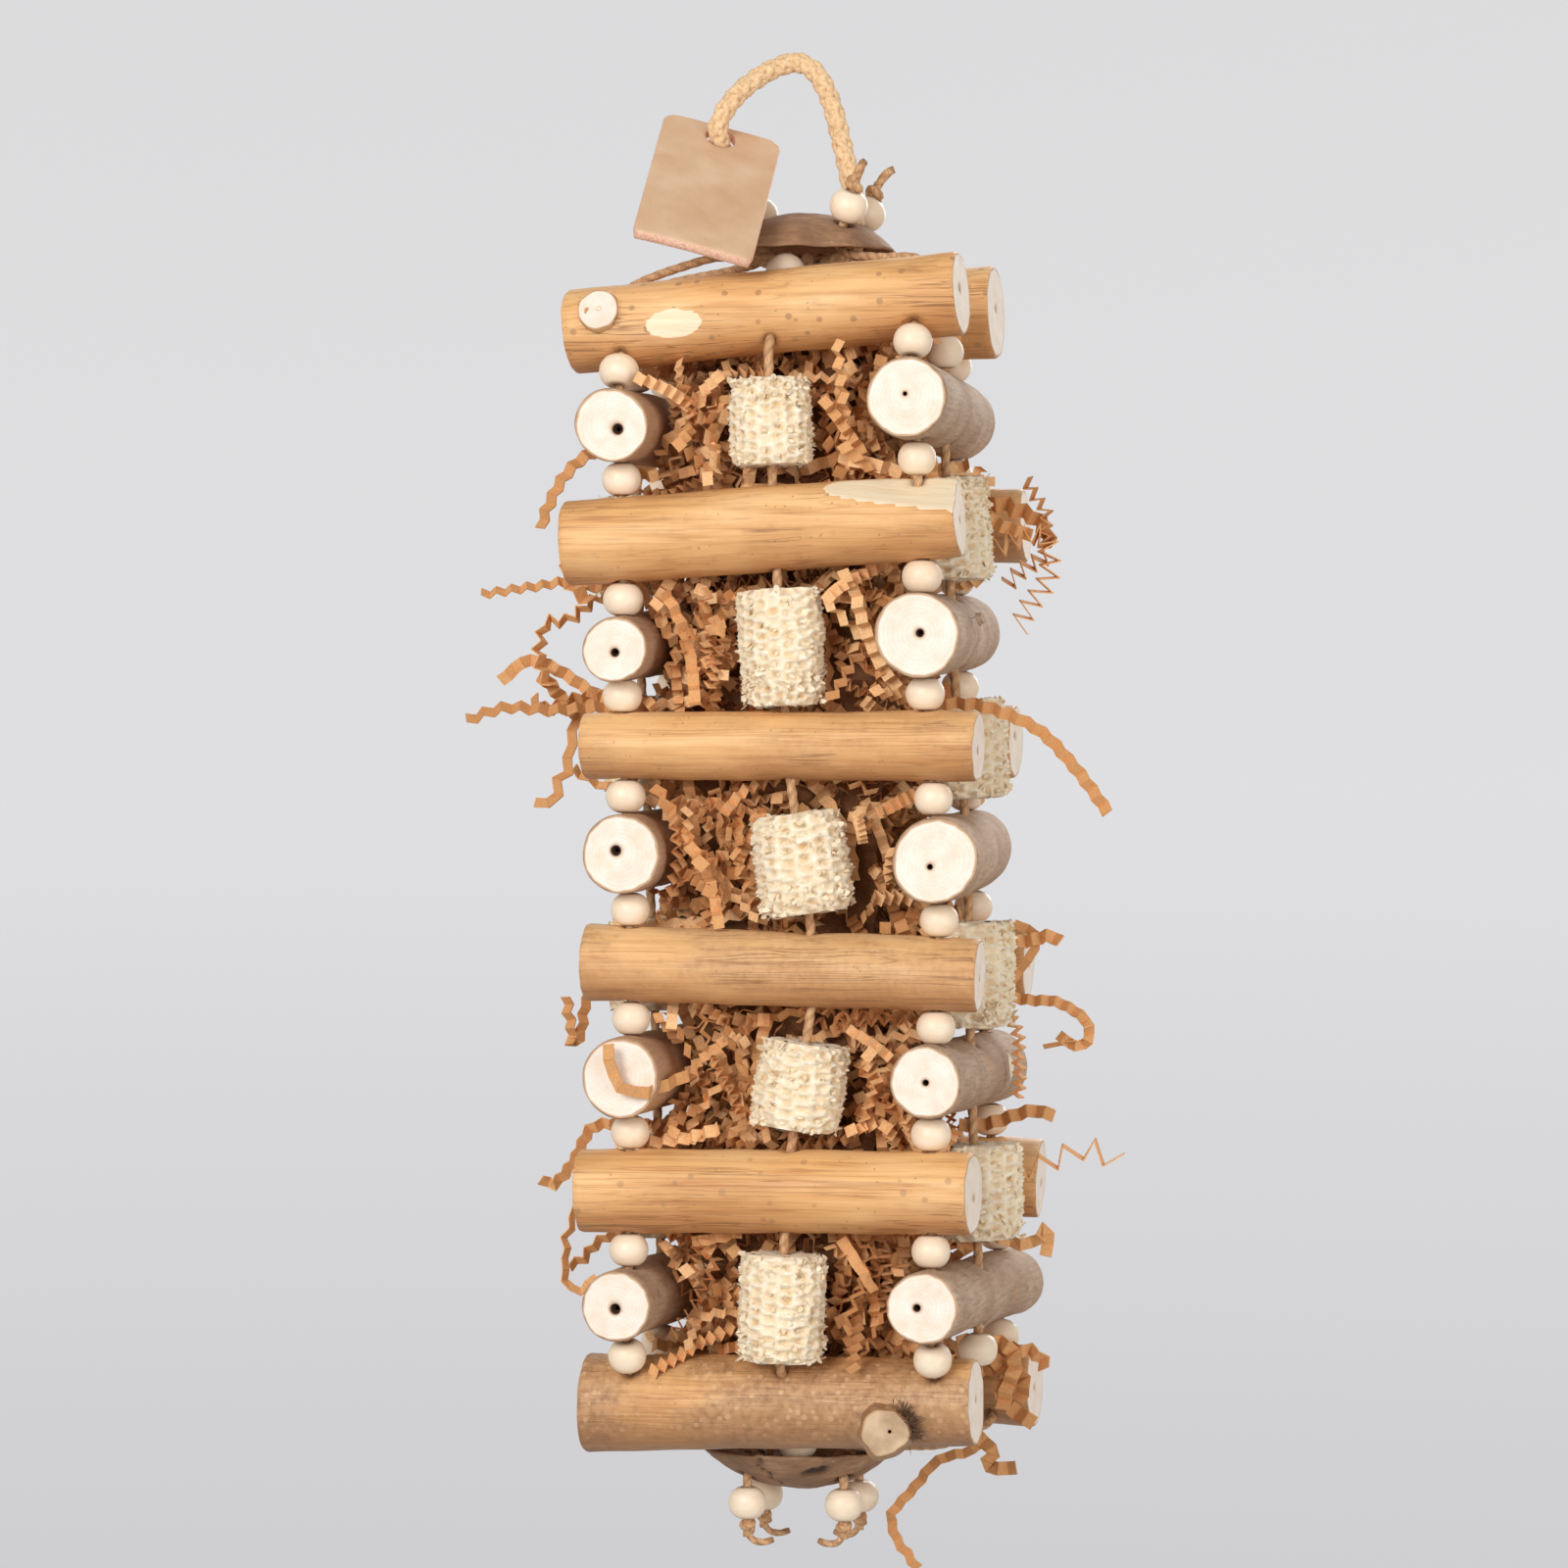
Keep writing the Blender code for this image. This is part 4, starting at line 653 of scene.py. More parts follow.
class Stick:
    """One stick as the frame holds it: its axis, and its skin as radii along and round it."""

    def __init__(self, name):
        self.name = name
        self.along = 0 if name.startswith(("front", "back")) else 1
        points, triangles = node_mesh(name)
        middles = []
        for sign in (-1, 1):
            reach = (points[:, self.along] * sign).max()
            middles.append(points[points[:, self.along] * sign > reach - STICK_END_BAND].mean(axis=0))
        self.start, self.end = middles
        self.length = np.linalg.norm(self.end - self.start)
        self.axis = (self.end - self.start) / self.length
        self.up = np.cross(self.axis, (0, 1, 0) if self.along == 0 else (1, 0, 0))
        self.up *= math.copysign(1, self.up[2]) / np.linalg.norm(self.up)
        self.side = np.cross(self.up, self.axis)
        self.shares = np.linspace(0, 1, STICK_ROWS)
        self.turns = turns_round(STICK_COLUMNS)
        self.spokes = spokes_at(self.turns, self.side, self.up)
        self.read_skin(BVHTree.FromPolygons(points.tolist(), triangles))

    def read_skin(self, tree):
        """Radii by rays from outside; a ray that runs down a bore marks the hole."""
        radii = np.full((STICK_ROWS, STICK_COLUMNS), np.nan)
        for row, share in enumerate(np.clip(self.shares, 0.01, 0.99)):
            middle = self.at(share)
            for column, spoke in enumerate(self.spokes):
                origin = Vector(middle + spoke * STICK_RAY)
                distance = tree.ray_cast(origin, Vector(-spoke), STICK_RAY)[3]
                if distance is not None:
                    radii[row, column] = STICK_RAY - distance
        self.radius = np.nanmedian(radii)
        holes = np.isnan(radii) | (radii < self.radius * 0.72)
        for row in range(STICK_ROWS):
            clear = ~holes[row]
            if not clear.all():
                wrapped = np.concatenate([self.turns - 2 * math.pi, self.turns, self.turns + 2 * math.pi])
                kept = np.tile(clear, 3)
                radii[row] = np.interp(self.turns, wrapped[kept], np.tile(radii[row], 3)[kept])
        self.radii = blurred(radii, 14) * STICK_SWELL.get(self.name, STICK_USUAL_SWELL)
        self.holes = np.clip(blurred(holes.astype(float), 3) * 1.6, 0, 1)

    def at(self, share):
        return self.start + (self.end - self.start) * share

    def turn_of(self, direction):
        """The turn round the stick at which its surface faces a direction."""
        return math.atan2(float(np.dot(direction, self.up)), float(np.dot(direction, self.side)))


def oval_patch(stick, share, direction, half_length, half_width, edge=0.25):
    """A mask over a stick's skin: 1 inside an oval at a place, fading over its edge."""
    turn = stick.turn_of(direction)
    along = (stick.shares[:, None] - share) * stick.length / half_length
    around = ((stick.turns[None, :] - turn + math.pi) % (2 * math.pi) - math.pi) * stick.radius / half_width
    distance = np.sqrt(along ** 2 + around ** 2)
    return np.clip((1 - distance) / edge + 0.5, 0, 1), distance


def dress_stick(stick, seed, materials, slot, pith):
    """A length of branch with natural relief, bores dented in and painted dark as shade, sawn ends and its
    own marks.
    """
    chance = random.Random(seed)
    radii = stick.radii.copy()
    marks = {"bare": np.zeros_like(radii), "dark": np.zeros_like(radii)}
    middles = stick.at(stick.shares[:, None])
    surface = middles[:, None, :] + stick.spokes[None, :, :] * radii[:, :, None]
    drift = Vector((seed * 3.7, seed * 1.9, seed * 5.3))
    squeeze = np.array([0.25, 1, 1]) if stick.along == 0 else np.array([1, 0.25, 1])
    for row in range(STICK_ROWS):
        for column in range(STICK_COLUMNS):
            point = Vector(surface[row, column])
            ridge = Vector(surface[row, column] * squeeze)
            radii[row, column] += (STICK_LUMPS * noise.noise(point / STICK_LUMP_SIZE + drift)
                                   + STICK_RIDGES * noise.noise(ridge / STICK_RIDGE_SIZE + drift))
    for mark in STICK_MARKS.get(stick.name, ()):
        mark(stick, radii, marks)
    # Bores: dented in, and painted dark as the shade inside them.
    radii -= 2.0 * stick.holes ** 2
    marks["dark"] = np.maximum(marks["dark"], 0.8 * stick.holes ** 2)
    edge = np.array([chance.uniform(0.1, 0.75) for _ in stick.turns])
    edge = (np.roll(edge, 1) + 2 * edge + np.roll(edge, -1)) / 4
    worn = radii.copy()
    worn[0] -= edge
    worn[-1] -= edge
    lift = np.zeros_like(radii)
    lift[1] = STICK_RIM - stick.length / (STICK_ROWS - 1)
    lift[-2] = stick.length / (STICK_ROWS - 1) - STICK_RIM
    for row, way in ((slice(0, 2), 1), (slice(-2, None), -1)):
        tilt = chance.uniform(-STICK_TILT, STICK_TILT) * np.cos(stick.turns)
        tilt = tilt + chance.uniform(-STICK_TILT, STICK_TILT) * np.sin(stick.turns)
        ragged = np.array([noise.noise(Vector(spoke) * 3 + drift * way) for spoke in stick.spokes])
        lift[row] += stick.radius * tilt + 0.22 * ragged
    skin = (middles[:, None, :] + stick.spokes[None, :, :] * worn[:, :, None]
            + stick.axis * lift[:, :, None])
    tone = STICK_TONES.get(stick.name, 0.05)
    mass = Mass(tone=tone, bare=0.0, dark=0.0, radial=0.0, under=0.0, spotty=0.0)
    faces = grid_faces(STICK_ROWS, STICK_COLUMNS)
    # under: painted shade on the stick's underside: none on top, a little at the sides, full where the skin
    # faces down
    under = np.clip(0.15 - 1.1 * np.tile(stick.spokes[:, 2], (STICK_ROWS, 1)), 0, 1)
    mass.add(skin.reshape(-1, 3), [face[::-1] for face in faces], bare=marks["bare"].ravel(),
             dark=marks["dark"].ravel(), under=under.ravel(), spotty=STICK_SPOTS.get(stick.name, 0.2))
    for rim, outward in ((skin[0], -stick.axis), (skin[-1], stick.axis)):
        add_sawn_end(mass, rim, outward, pith, chance)
    if stick.name in STICK_STUBS:
        add_stub(mass, stick, *STICK_STUBS[stick.name], chance)
    mass.piece(stick.name + "_wood", materials, "tower", slot, [stick.name], outwards=False)


def add_stub(mass, stick, station, toward, rise, radius, reach, hairs, aged, chance):
    """A side twig sawn off short: a collar of bark, a sawn face, and frayed fibres on one side of it."""
    share = (station - stick.start[stick.along]) / (stick.end - stick.start)[stick.along]
    root = stick.at(share) + np.array((0, 0, rise))
    toward = unit(toward)
    side = unit(np.cross((0, 0, 1), toward) if stick.along == 0 else np.cross(toward, (0, 1, 0)))
    across = np.cross(toward, side)
    turns = turns_round(36)
    spokes = spokes_at(turns, side, across)
    lift = Vector((0, 0, station))
    rough = np.array([1 + 0.16 * noise.noise(Vector(spoke) * 1.6 + lift) for spoke in spokes])
    rings = []
    for sunk, wide in ((0.95, 1.35), (0.5, 1.13), (0.25, 1.05), (0.1, 1.03), (0, 0.97)):
        rings.append(root + toward * (reach - sunk * radius) + spokes * (radius * wide * rough)[:, None])
    # The stub's collar takes a fixed share (0.4) of the painted underside shade over all of it.
    mass.add(np.concatenate(rings), faced_outwards(rings, spokes[0]), dark=0.3, under=0.4)
    add_sawn_end(mass, rings[-1], toward, radius * 0.09, chance, aged)
    for _ in range(hairs):
        turn = chance.triangular(-0.6, 1.3, 0.2)
        spoke = math.cos(turn) * side + math.sin(turn) * across
        start = root + toward * (reach - chance.uniform(1.2, 2.8))
        start = start + spoke * radius * chance.uniform(0.95, 1.35)
        heading = spoke + toward * chance.uniform(0.1, 0.8)
        heading = heading + np.array([chance.gauss(0, 0.5) for _ in range(3)])
        line = wander(start, heading, chance.randint(4, 7), 0.62, 0.22, chance)
        points = tube(line, np.linspace(0.17, 0.07, len(line)), 4)
        mass.add(points, grid_faces(len(line), 4), dark=0.85)


def add_sawn_end(mass, rim, outward, pith, chance, aged=0.0):
    """A sawn face from the rim to a small pith hole that sits a little off centre."""
    count = len(rim)
    middle = rim.mean(axis=0)
    across = np.cross(outward, (0, 0, 1))
    heart = middle + across * chance.uniform(-2, 2) + np.array((0, 0, 1)) * chance.uniform(-1.8, 1.8)
    heart -= outward * np.dot(heart - middle, outward)
    spread = rim - heart
    usual = np.linalg.norm(spread, axis=1).mean()
    rings = [(1, 0), (0.965, 0.12), (0.9, 0.0), (0.7, 0.05), (0.45, 0.0), (1.9 * pith / usual, 0.02)]
    points = [heart + spread * share + outward * rise for share, rise in rings]
    radial = [np.full(count, share) for share, rise in rings]
    spokes = units(spread)
    for reach, drop in ((pith, 0.15), (pith * 0.8, 1.2), (pith * 0.3, 3.2)):
        points.append(heart + spokes * reach - outward * drop)
        radial.append(np.full(count, 0.0 if drop > 1 else 0.04))
    radial = np.concatenate(radial)
    # dark: painted shade down the pith hole.
    dark = np.clip((0.03 - radial) / 0.03, 0, 1)
    mass.add(np.concatenate(points), faced_outwards(points, outward), 1, bare=aged, dark=dark,
             radial=radial)


def knot_scar(share, direction, half_length, half_width):
    """A sawn-off twig: a pale oval on a slight swelling, with a dark rim of bark."""
    def mark(stick, radii, marks):
        inside, distance = oval_patch(stick, share, direction, half_length, half_width, 0.15)
        radii += 1.0 * np.exp(-(distance / 1.5) ** 2) - 0.5 * inside
        marks["bare"] = np.maximum(marks["bare"], inside)
        rim = np.exp(-((distance - 1.14) / 0.17) ** 2) * (0.6 + 0.3 * np.sin(stick.turns + 1)[None, :])
        marks["dark"] = np.maximum(marks["dark"], rim)
    return mark


def blaze(share, direction, half_length, half_width):
    """A shallow oval where the knife took off the skin and left pale wood."""
    def mark(stick, radii, marks):
        inside = oval_patch(stick, share, direction, half_length, half_width, 0.2)[0]
        radii -= 0.35 * inside
        marks["bare"] = np.maximum(marks["bare"], inside)
    return mark


def knife_facet(share, direction, depth, slope):
    """The flat cut that runs out towards a stick's end, bare of its skin."""
    def mark(stick, radii, marks):
        outward = unit(direction)
        normal = unit(outward + stick.axis * slope)
        foot = stick.at(share) + outward * (stick.radius * 1.03 - depth)
        height = (foot - stick.at(stick.shares[:, None])) @ normal
        facing = stick.spokes @ normal
        reach = height[:, None] / np.maximum(facing, 0.05)[None, :]
        cut = np.clip((radii - reach) / 0.35 + 0.3, 0, 1)
        radii[:] = np.minimum(radii, reach)
        marks["bare"] = np.maximum(marks["bare"], cut)
    return mark


def lenticels(surface, scale, size, share):
    """Small raised spots of the bark: round marks in a share of the cells of a pattern."""
    cells = surface.add("TexVoronoi", Vector=surface.coords(), Scale=scale)
    spot = surface.ramp(cells.outputs["Distance"], (size, 1.0), (size * 1.6, 0.0))
    chosen = surface.ramp(cells.outputs["Color"], (1 - share, 0.0), (1.02 - share, 1.0))
    return surface.times(spot, chosen)


def peeled_wood(name, stretch):
    """Smooth golden wood under peeled bark: soft brown patches, fine grain, hair cracks, spots, and painted
    shade that browns the underside.
    """
    surface = Surface(name, roughness=0.5)

    def drawn(share):
        return tuple(share * s if s < 1 else s for s in stretch)

    broad = surface.noise(44, stretch=drawn(4))
    weather = surface.noise(38, detail=5, stretch=drawn(7))
    streak = surface.noise(560, detail=5, roughness=0.6, distortion=0.3, stretch=drawn(0.6))
    rough = surface.noise(420)
    colour = surface.ramp(streak, (0.30, (0.50, 0.215, 0.06)), (0.46, (0.77, 0.41, 0.155)),
                          (0.56, (0.86, 0.50, 0.205)), (0.72, (0.95, 0.62, 0.30)))
    warm = surface.ramp(broad, (0.34, (0.53, 0.225, 0.068)), (0.45, (0.77, 0.40, 0.145)),
                        (0.55, (0.89, 0.53, 0.23)), (0.68, (0.96, 0.67, 0.37)))
    colour = surface.mix(0.55, colour, warm)
    # Painted shade: the faces that look down turn browner and darker, in blotches.
    under = surface.times(surface.attribute("under"), surface.ramp(weather, (0.36, 0.35), (0.6, 0.9)))
    colour = surface.tint(colour, (0.55, 0.225, 0.075), under)
    wrinkle = surface.noise(330, detail=3, roughness=0.6, stretch=drawn(0.2))
    crack = surface.ramp(wrinkle, (0.455, 0.0), (0.476, 0.75), (0.494, 0.75), (0.515, 0.0))
    crack = surface.times(crack, surface.ramp(broad, (0.44, 0.75), (0.58, 0.1)))
    colour = surface.tint(colour, (0.42, 0.185, 0.06), crack)
    split = surface.noise(210, detail=3, roughness=0.7, distortion=0.3, stretch=drawn(0.3))
    split = surface.ramp(split, (0.482, 0.0), (0.494, 0.75), (0.506, 0.75), (0.518, 0.0))
    split = surface.times(split, surface.ramp(weather, (0.46, 0.0), (0.56, 1.0)))
    colour = surface.tint(colour, (0.27, 0.115, 0.04), split)
    spots = surface.times(lenticels(surface, 175, 0.14, 0.75), surface.attribute("spotty"))
    colour = surface.tint(colour, (0.34, 0.18, 0.085), spots, 0.65)
    specks = lenticels(surface, 520, 0.13, 0.25)
    colour = surface.tint(colour, (0.28, 0.14, 0.06), specks, 0.6)
    warts = surface.times(lenticels(surface, 300, 0.2, 0.6), surface.attribute("tone"))
    brown = surface.ramp(rough, (0.35, (0.29, 0.14, 0.06)), (0.6, (0.50, 0.275, 0.135)))
    brown = surface.mix(warts, brown, (0.62, 0.39, 0.22))
    aged = surface.mix(surface.ramp(weather, (0.40, 0.2), (0.52, 0.95)), colour, brown)
    # Painted shade on the aged bark as well: darker where the faces look down.
    aged = surface.mix(surface.times(surface.attribute("under"), 0.6), aged, (0.30, 0.145, 0.065))
    colour = surface.tint(colour, aged, "tone")
    pale = surface.ramp(streak, (0.3, (0.88, 0.68, 0.43)), (0.6, (0.94, 0.79, 0.56)))
    ragged = surface.plus(surface.attribute("bare"), surface.times(surface.maths(
        "SUBTRACT", streak, 0.5), 0.9))
    colour = surface.mix(surface.ramp(ragged, (0.42, 0.0), (0.58, 1.0)), colour, pale)
    colour = surface.tint(colour, (0.085, 0.04, 0.02), "dark")
    raised = surface.plus(surface.times(spots, 0.35), surface.times(warts, 0.8))
    sunk = surface.plus(surface.times(crack, 0.6), split)
    height = surface.maths("SUBTRACT", surface.plus(streak, raised), sunk)
    gloss = surface.ramp(streak, (0.3, 0.62), (0.7, 0.45))
    return surface.finish(colour, height, bump=0.35, depth=0.5, roughness=gloss)


def bark_wood(name, stretch):
    """Thin grey-brown bark with fine wrinkles, pale dust and small spots."""
    surface = Surface(name, roughness=0.8)
    broad = surface.noise(55)
    fine = surface.noise(900, detail=5, roughness=0.65, stretch=stretch)
    colour = surface.ramp(broad, (0.3, (0.38, 0.235, 0.14)), (0.48, (0.49, 0.325, 0.21)),
                          (0.62, (0.57, 0.405, 0.28)), (0.78, (0.64, 0.49, 0.37)))
    colour = surface.tint(colour, (0.30, 0.18, 0.105), surface.ramp(fine, (0.32, 0.7), (0.6, 0.0)))
    rubbed = surface.noise(110, detail=3)
    colour = surface.tint(colour, (0.55, 0.29, 0.13), surface.ramp(rubbed, (0.62, 0.0), (0.7, 0.75)))
    spots = lenticels(surface, 210, 0.14, 0.45)
    colour = surface.tint(colour, (0.25, 0.155, 0.10), spots, 0.6)
    colour = surface.tint(colour, (0.52, 0.27, 0.125), "tone", 0.6)
    colour = surface.tint(colour, (0.86, 0.70, 0.50), "bare")
    colour = surface.tint(colour, (0.07, 0.04, 0.025), "dark")
    height = surface.plus(fine, surface.times(spots, 0.5))
    return surface.finish(colour, height, bump=0.45, depth=0.5)


def sawn_wood():
    """Near-white end grain with faint rings, saw marks, a thin bark edge, a browner pith and a pith hole
    painted dark as shade.
    """
    surface = Surface("sawn_end", roughness=0.72)
    radial = surface.attribute("radial")
    cloud = surface.noise(170)
    fibre = surface.noise(1400, detail=3)
    colour = surface.ramp(cloud, (0.3, (0.86, 0.70, 0.55)), (0.5, (0.92, 0.785, 0.66)),
                          (0.7, (0.95, 0.85, 0.76)))
    bent = surface.plus(radial, surface.times(cloud, 0.12))
    ring = surface.maths("SINE", surface.times(bent, 58.0))
    colour = surface.tint(colour, (0.70, 0.50, 0.31), surface.ramp(ring, (0.55, 0.0), (1.0, 0.16)))
    colour = surface.tint(colour, (0.74, 0.58, 0.41), surface.ramp(fibre, (0.3, 0.3), (0.45, 0.0)))
    colour = surface.mix(surface.attribute("bare"), colour, surface.ramp(cloud, (0.35, (0.44, 0.28, 0.155)),
                                                                         (0.65, (0.66, 0.46, 0.285))))
    edge = surface.plus(radial, surface.times(surface.maths("SUBTRACT", cloud, 0.5), 0.10))
    colour = surface.tint(colour, (0.52, 0.30, 0.15), surface.ramp(edge, (0.945, 0.0), (0.965, 0.9)))
    colour = surface.tint(colour, (0.66, 0.43, 0.26), surface.ramp(radial, (0.03, 0.75), (0.17, 0.0)))
    colour = surface.tint(colour, (0.055, 0.022, 0.014), "dark")
    return surface.finish(colour, fibre, bump=0.3, depth=0.35)


def front_side(rise):
    """Outward direction on a front stick for a mark seen so far up its round face."""
    return np.array((0, -math.cos(rise), math.sin(rise)))


STICK_MARKS = {
    "front_stick_1": [knot_scar(0.105, front_side(0.25), 4.4, 4.0),
                      blaze(0.285, front_side(-0.12), 8.6, 4.2)],
    "front_stick_2": [knife_facet(0.86, (0, -0.55, 0.83), 2.6, 0.085)],
    "back_stick_3": [knot_scar(0.3, np.array((0, 0.9, 0.2)), 5.0, 4.2)],
    "back_stick_5": [blaze(0.7, np.array((0, 0.95, -0.1)), 9.0, 4.5)],
    "left_stick_3": [knot_scar(0.6, np.array((-0.9, 0, 0.3)), 4.2, 3.6)],
    "right_stick_4": [knot_scar(0.72, np.array((0.9, 0, 0.1)), 4.4, 3.6)],
}
STICK_STUBS = {"front_stick_1": (-52.3, (-0.06, -0.96, 0.34), 0, 6.3, 13.8, 0, 0.1),
               "front_stick_6": (32.5, (0.16, -0.97, -0.1), -5.4, 7.0, 17.6, 130, 0.95),
               "right_stick_2": (-25, (0.95, 0, 0.3), 0, 1.7, 16.5, 0, 0.95)}
STICK_SPOTS = {"front_stick_1": 1.0, "front_stick_5": 0.7, "front_stick_6": 0.6, "back_stick_1": 0.8,
               "back_stick_4": 0.7}
STICK_TONES = {"front_stick_6": 0.85, "front_stick_3": 0.3, "front_stick_4": 0.42, "front_stick_2": 0.12,
               "back_stick_2": 0.6, "back_stick_4": 0.4, "back_stick_6": 0.7, "left_stick_1": 0.7,
               "left_stick_4": 0.75, "left_stick_2": 0.4, "right_stick_3": 0.25, "left_stick_3": 0.55}


def build_sticks():
    sawn = sawn_wood()
    skins = {0: peeled_wood("peeled_across", (0.07, 1, 1)), 1: bark_wood("bark_deep", (1, 0.09, 1))}
    slots = {0: "peeled_wood", 1: "bark_wood"}
    names = [name for name in sorted(frame["nodes"]) if "_stick_" in name]
    sticks = {name: Stick(name) for name in names}
    for seed, stick in enumerate(sticks.values()):
        pith = random.Random(seed + PITH_SEED).uniform(0.7, 1.5 if stick.along == 0 else 1.9)
        dress_stick(stick, seed + STICK_SEED, [skins[stick.along], sawn], slots[stick.along], pith)
    return sticks


def bead_material():
    """Pale turned wood with faint growth lines, and painted shade round the hole."""
    surface = Surface("bead_wood", roughness=0.42)
    line = surface.noise(420, detail=4, distortion=0.6, stretch=(0.3, 1, 1))
    colour = surface.ramp(line, (0.3, (0.90, 0.715, 0.51)), (0.5, (0.94, 0.765, 0.57)),
                          (0.7, (0.96, 0.815, 0.65)))
    colour = surface.tint(colour, (0.85, 0.64, 0.42), "tone", 0.35)
    colour = surface.tint(colour, (0.22, 0.12, 0.06), "dark")
    return surface.finish(colour, line, bump=0.05, depth=0.15)


def paper_cord_material():
    """Kraft paper rolled into a cord: fine wrinkles along the twist, and grooves darkened with painted
    shade.
    """
    surface = Surface("paper_cord", roughness=0.8)
    wrinkle = surface.noise(1500, stretch=(1, 1, 0.35))
    colour = surface.ramp(wrinkle, (0.3, (0.43, 0.215, 0.095)), (0.5, (0.60, 0.345, 0.17)),
                          (0.72, (0.74, 0.47, 0.26)))
    colour = surface.tint(colour, (0.27, 0.13, 0.055), "groove")
    return surface.finish(colour, wrinkle, bump=0.45, depth=0.3)


def add_cord(mass, line, radius=CORD_RADIUS):
    """A twisted paper cord along a line, with its two plies winding round each other."""
    sides = 10
    line = spaced(np.asarray(line, float), CORD_STEP)
    points, faces = closed_tube(line, radius, sides, ridges=2, twist=CORD_TWIST)
    reach = np.linalg.norm(points - np.repeat(line, sides, axis=0), axis=1)
    # Painted shade in the grooves between the plies.
    groove = np.clip((0.95 - reach / np.max(radius)) / 0.12, 0, 1)
    mass.add(points, faces, 1, groove=groove * 0.8)


def add_bead(mass, middle, axis, chance):
    """A flattened round bead with a drilled hole that the cord fills."""
    sides = 28
    axis = unit(axis)
    side, across = sides_of(axis, (0.31, 0.77, 0.55))
    size = chance.uniform(0.97, 1.03)
    turns = turns_round(sides)
    profile = [(1.35, BEAD_SEAT * 0.72), (2.0, BEAD_SEAT)]
    for k in range(1, 12):
        turn = math.radians(20) + math.radians(140) * k / 12
        profile.append((BEAD_RADIUS * math.sin(turn) ** 0.8, BEAD_SEAT * 1.04 * math.cos(turn)))
    profile += [(2.0, -BEAD_SEAT), (1.35, -BEAD_SEAT * 0.72)]
    points = []
    for reach, rise in profile:
        ring = spokes_at(turns, side, across) * reach * size
        points.append(middle + ring + axis * rise)
    # dark: painted shade at the mouths of the hole, where the cord and the wood meet the bead.
    dark = np.repeat([1, 0.35] + [0] * 11 + [0.35, 1], sides)
    mass.add(np.concatenate(points), grid_faces(len(profile), sides), tone=chance.uniform(0, 1), dark=dark)


def add_knot(mass, middle, axis, tail, chance, thick=1.15):
    """An overhand knot: the cord wraps round itself and comes out as a short tail."""
    axis = unit(axis)
    side, across = sides_of(axis, (0.2, 0.9, 0.4))
    first = chance.uniform(0, 2 * math.pi)
    add_cord(mass, [middle - axis * 4.2, middle, middle + axis * 2.6])
    wrap = []
    for t in np.linspace(0, 1, 40):
        turn = first + 2 * math.pi * 1.4 * t
        reach = KNOT_RADIUS - 1.75 + 0.2 * math.sin(2 * math.pi * 3 * t)
        lift = 2.2 * (t - 0.5) + 0.9 * math.sin(turn + 0.7) - 1.0
        wrap.append(middle + (side * math.cos(turn) + across * math.sin(turn)) * reach + axis * lift)
    add_cord(mass, wrap, thick)
    root = middle + axis * 1.5
    way = np.asarray(tail, float)
    end = root + axis * 3.2 + way
    route = smooth_route([root, root + axis * 2.6 + way * 0.25, root + axis * 3.6 + way * 0.65, end], 0.7)
    shares = np.linspace(0, 1, len(spaced(route, CORD_STEP)))
    add_cord(mass, route, np.interp(shares, (0, 0.75, 1), (0.95 * thick, thick, 0.8 * thick)))


def bead_middles(name):
    """Middles and axes of the beads between the layers, read off a corner string's solid."""
    points = node_mesh(name)[0]
    left = list(range(len(points)))
    found = []
    while left:
        group = [left.pop()]
        for index in group:
            near = [k for k in left if np.linalg.norm(points[k] - points[index]) < BEAD_LINK]
            group += near
            left = [k for k in left if k not in near]
        if len(group) in BEAD_CORNERS:
            cloud = points[group]
            spread = cloud - cloud.mean(axis=0)
            axis = np.linalg.svd(spread)[2][0]
            wide = np.linalg.norm(np.cross(spread, axis), axis=1) > BEAD_HALF
            found.append((cloud[wide].mean(axis=0), axis * math.copysign(1, axis[2])))
    return sorted(found, key=lambda bead: -bead[0][2])


def corner_sign(corner):
    return -1 if corner.endswith("left") else 1, -1 if corner.startswith("front") else 1


def dome_radius(reach, rise):
    """Radius of the sphere whose cap has this reach and rise."""
    return (reach ** 2 + rise ** 2) / (2 * rise)


def cap_hole(corner, top_z, sign):
    """Point on a cap's outer face at a corner's string hole, and the outward normal there."""
    across, deep = corner_sign(corner)
    x, y = across * CAP_STRING_HOLE[0], deep * CAP_STRING_HOLE[1]
    sphere = dome_radius(CAP_RADIUS, CAP_RISE)
    centre = np.array((0, 0, top_z - sign * sphere))
    point = np.array((x, y, centre[2] + sign * math.sqrt(sphere ** 2 - x * x - y * y)))
    return point, (point - centre) / sphere


def run_to_cap(corner, bead, stick, top_z, sign):
    """Cord from the outermost bead through its stick, under the cap's rim and up the cap's hole."""
    across, deep = corner_sign(corner)
    point, normal = cap_hole(corner, top_z, sign)
    hole = stick.start + stick.axis * np.dot(bead - stick.start, stick.axis)
    through = unit(hole - bead)
    inside = point - normal * (CAP_THICKNESS + 2.5)
    rim = np.array((across * CAP_RIM_RUN[0], deep * CAP_RIM_RUN[1], top_z - sign * (CAP_RISE + 3.4)))
    lead = inside + (rim - inside) * 0.35 - np.array((0, 0, sign * 1.6))
    return [point + normal * 0.5, inside, lead, rim, hole + through * (stick.radius + 3.5), hole]


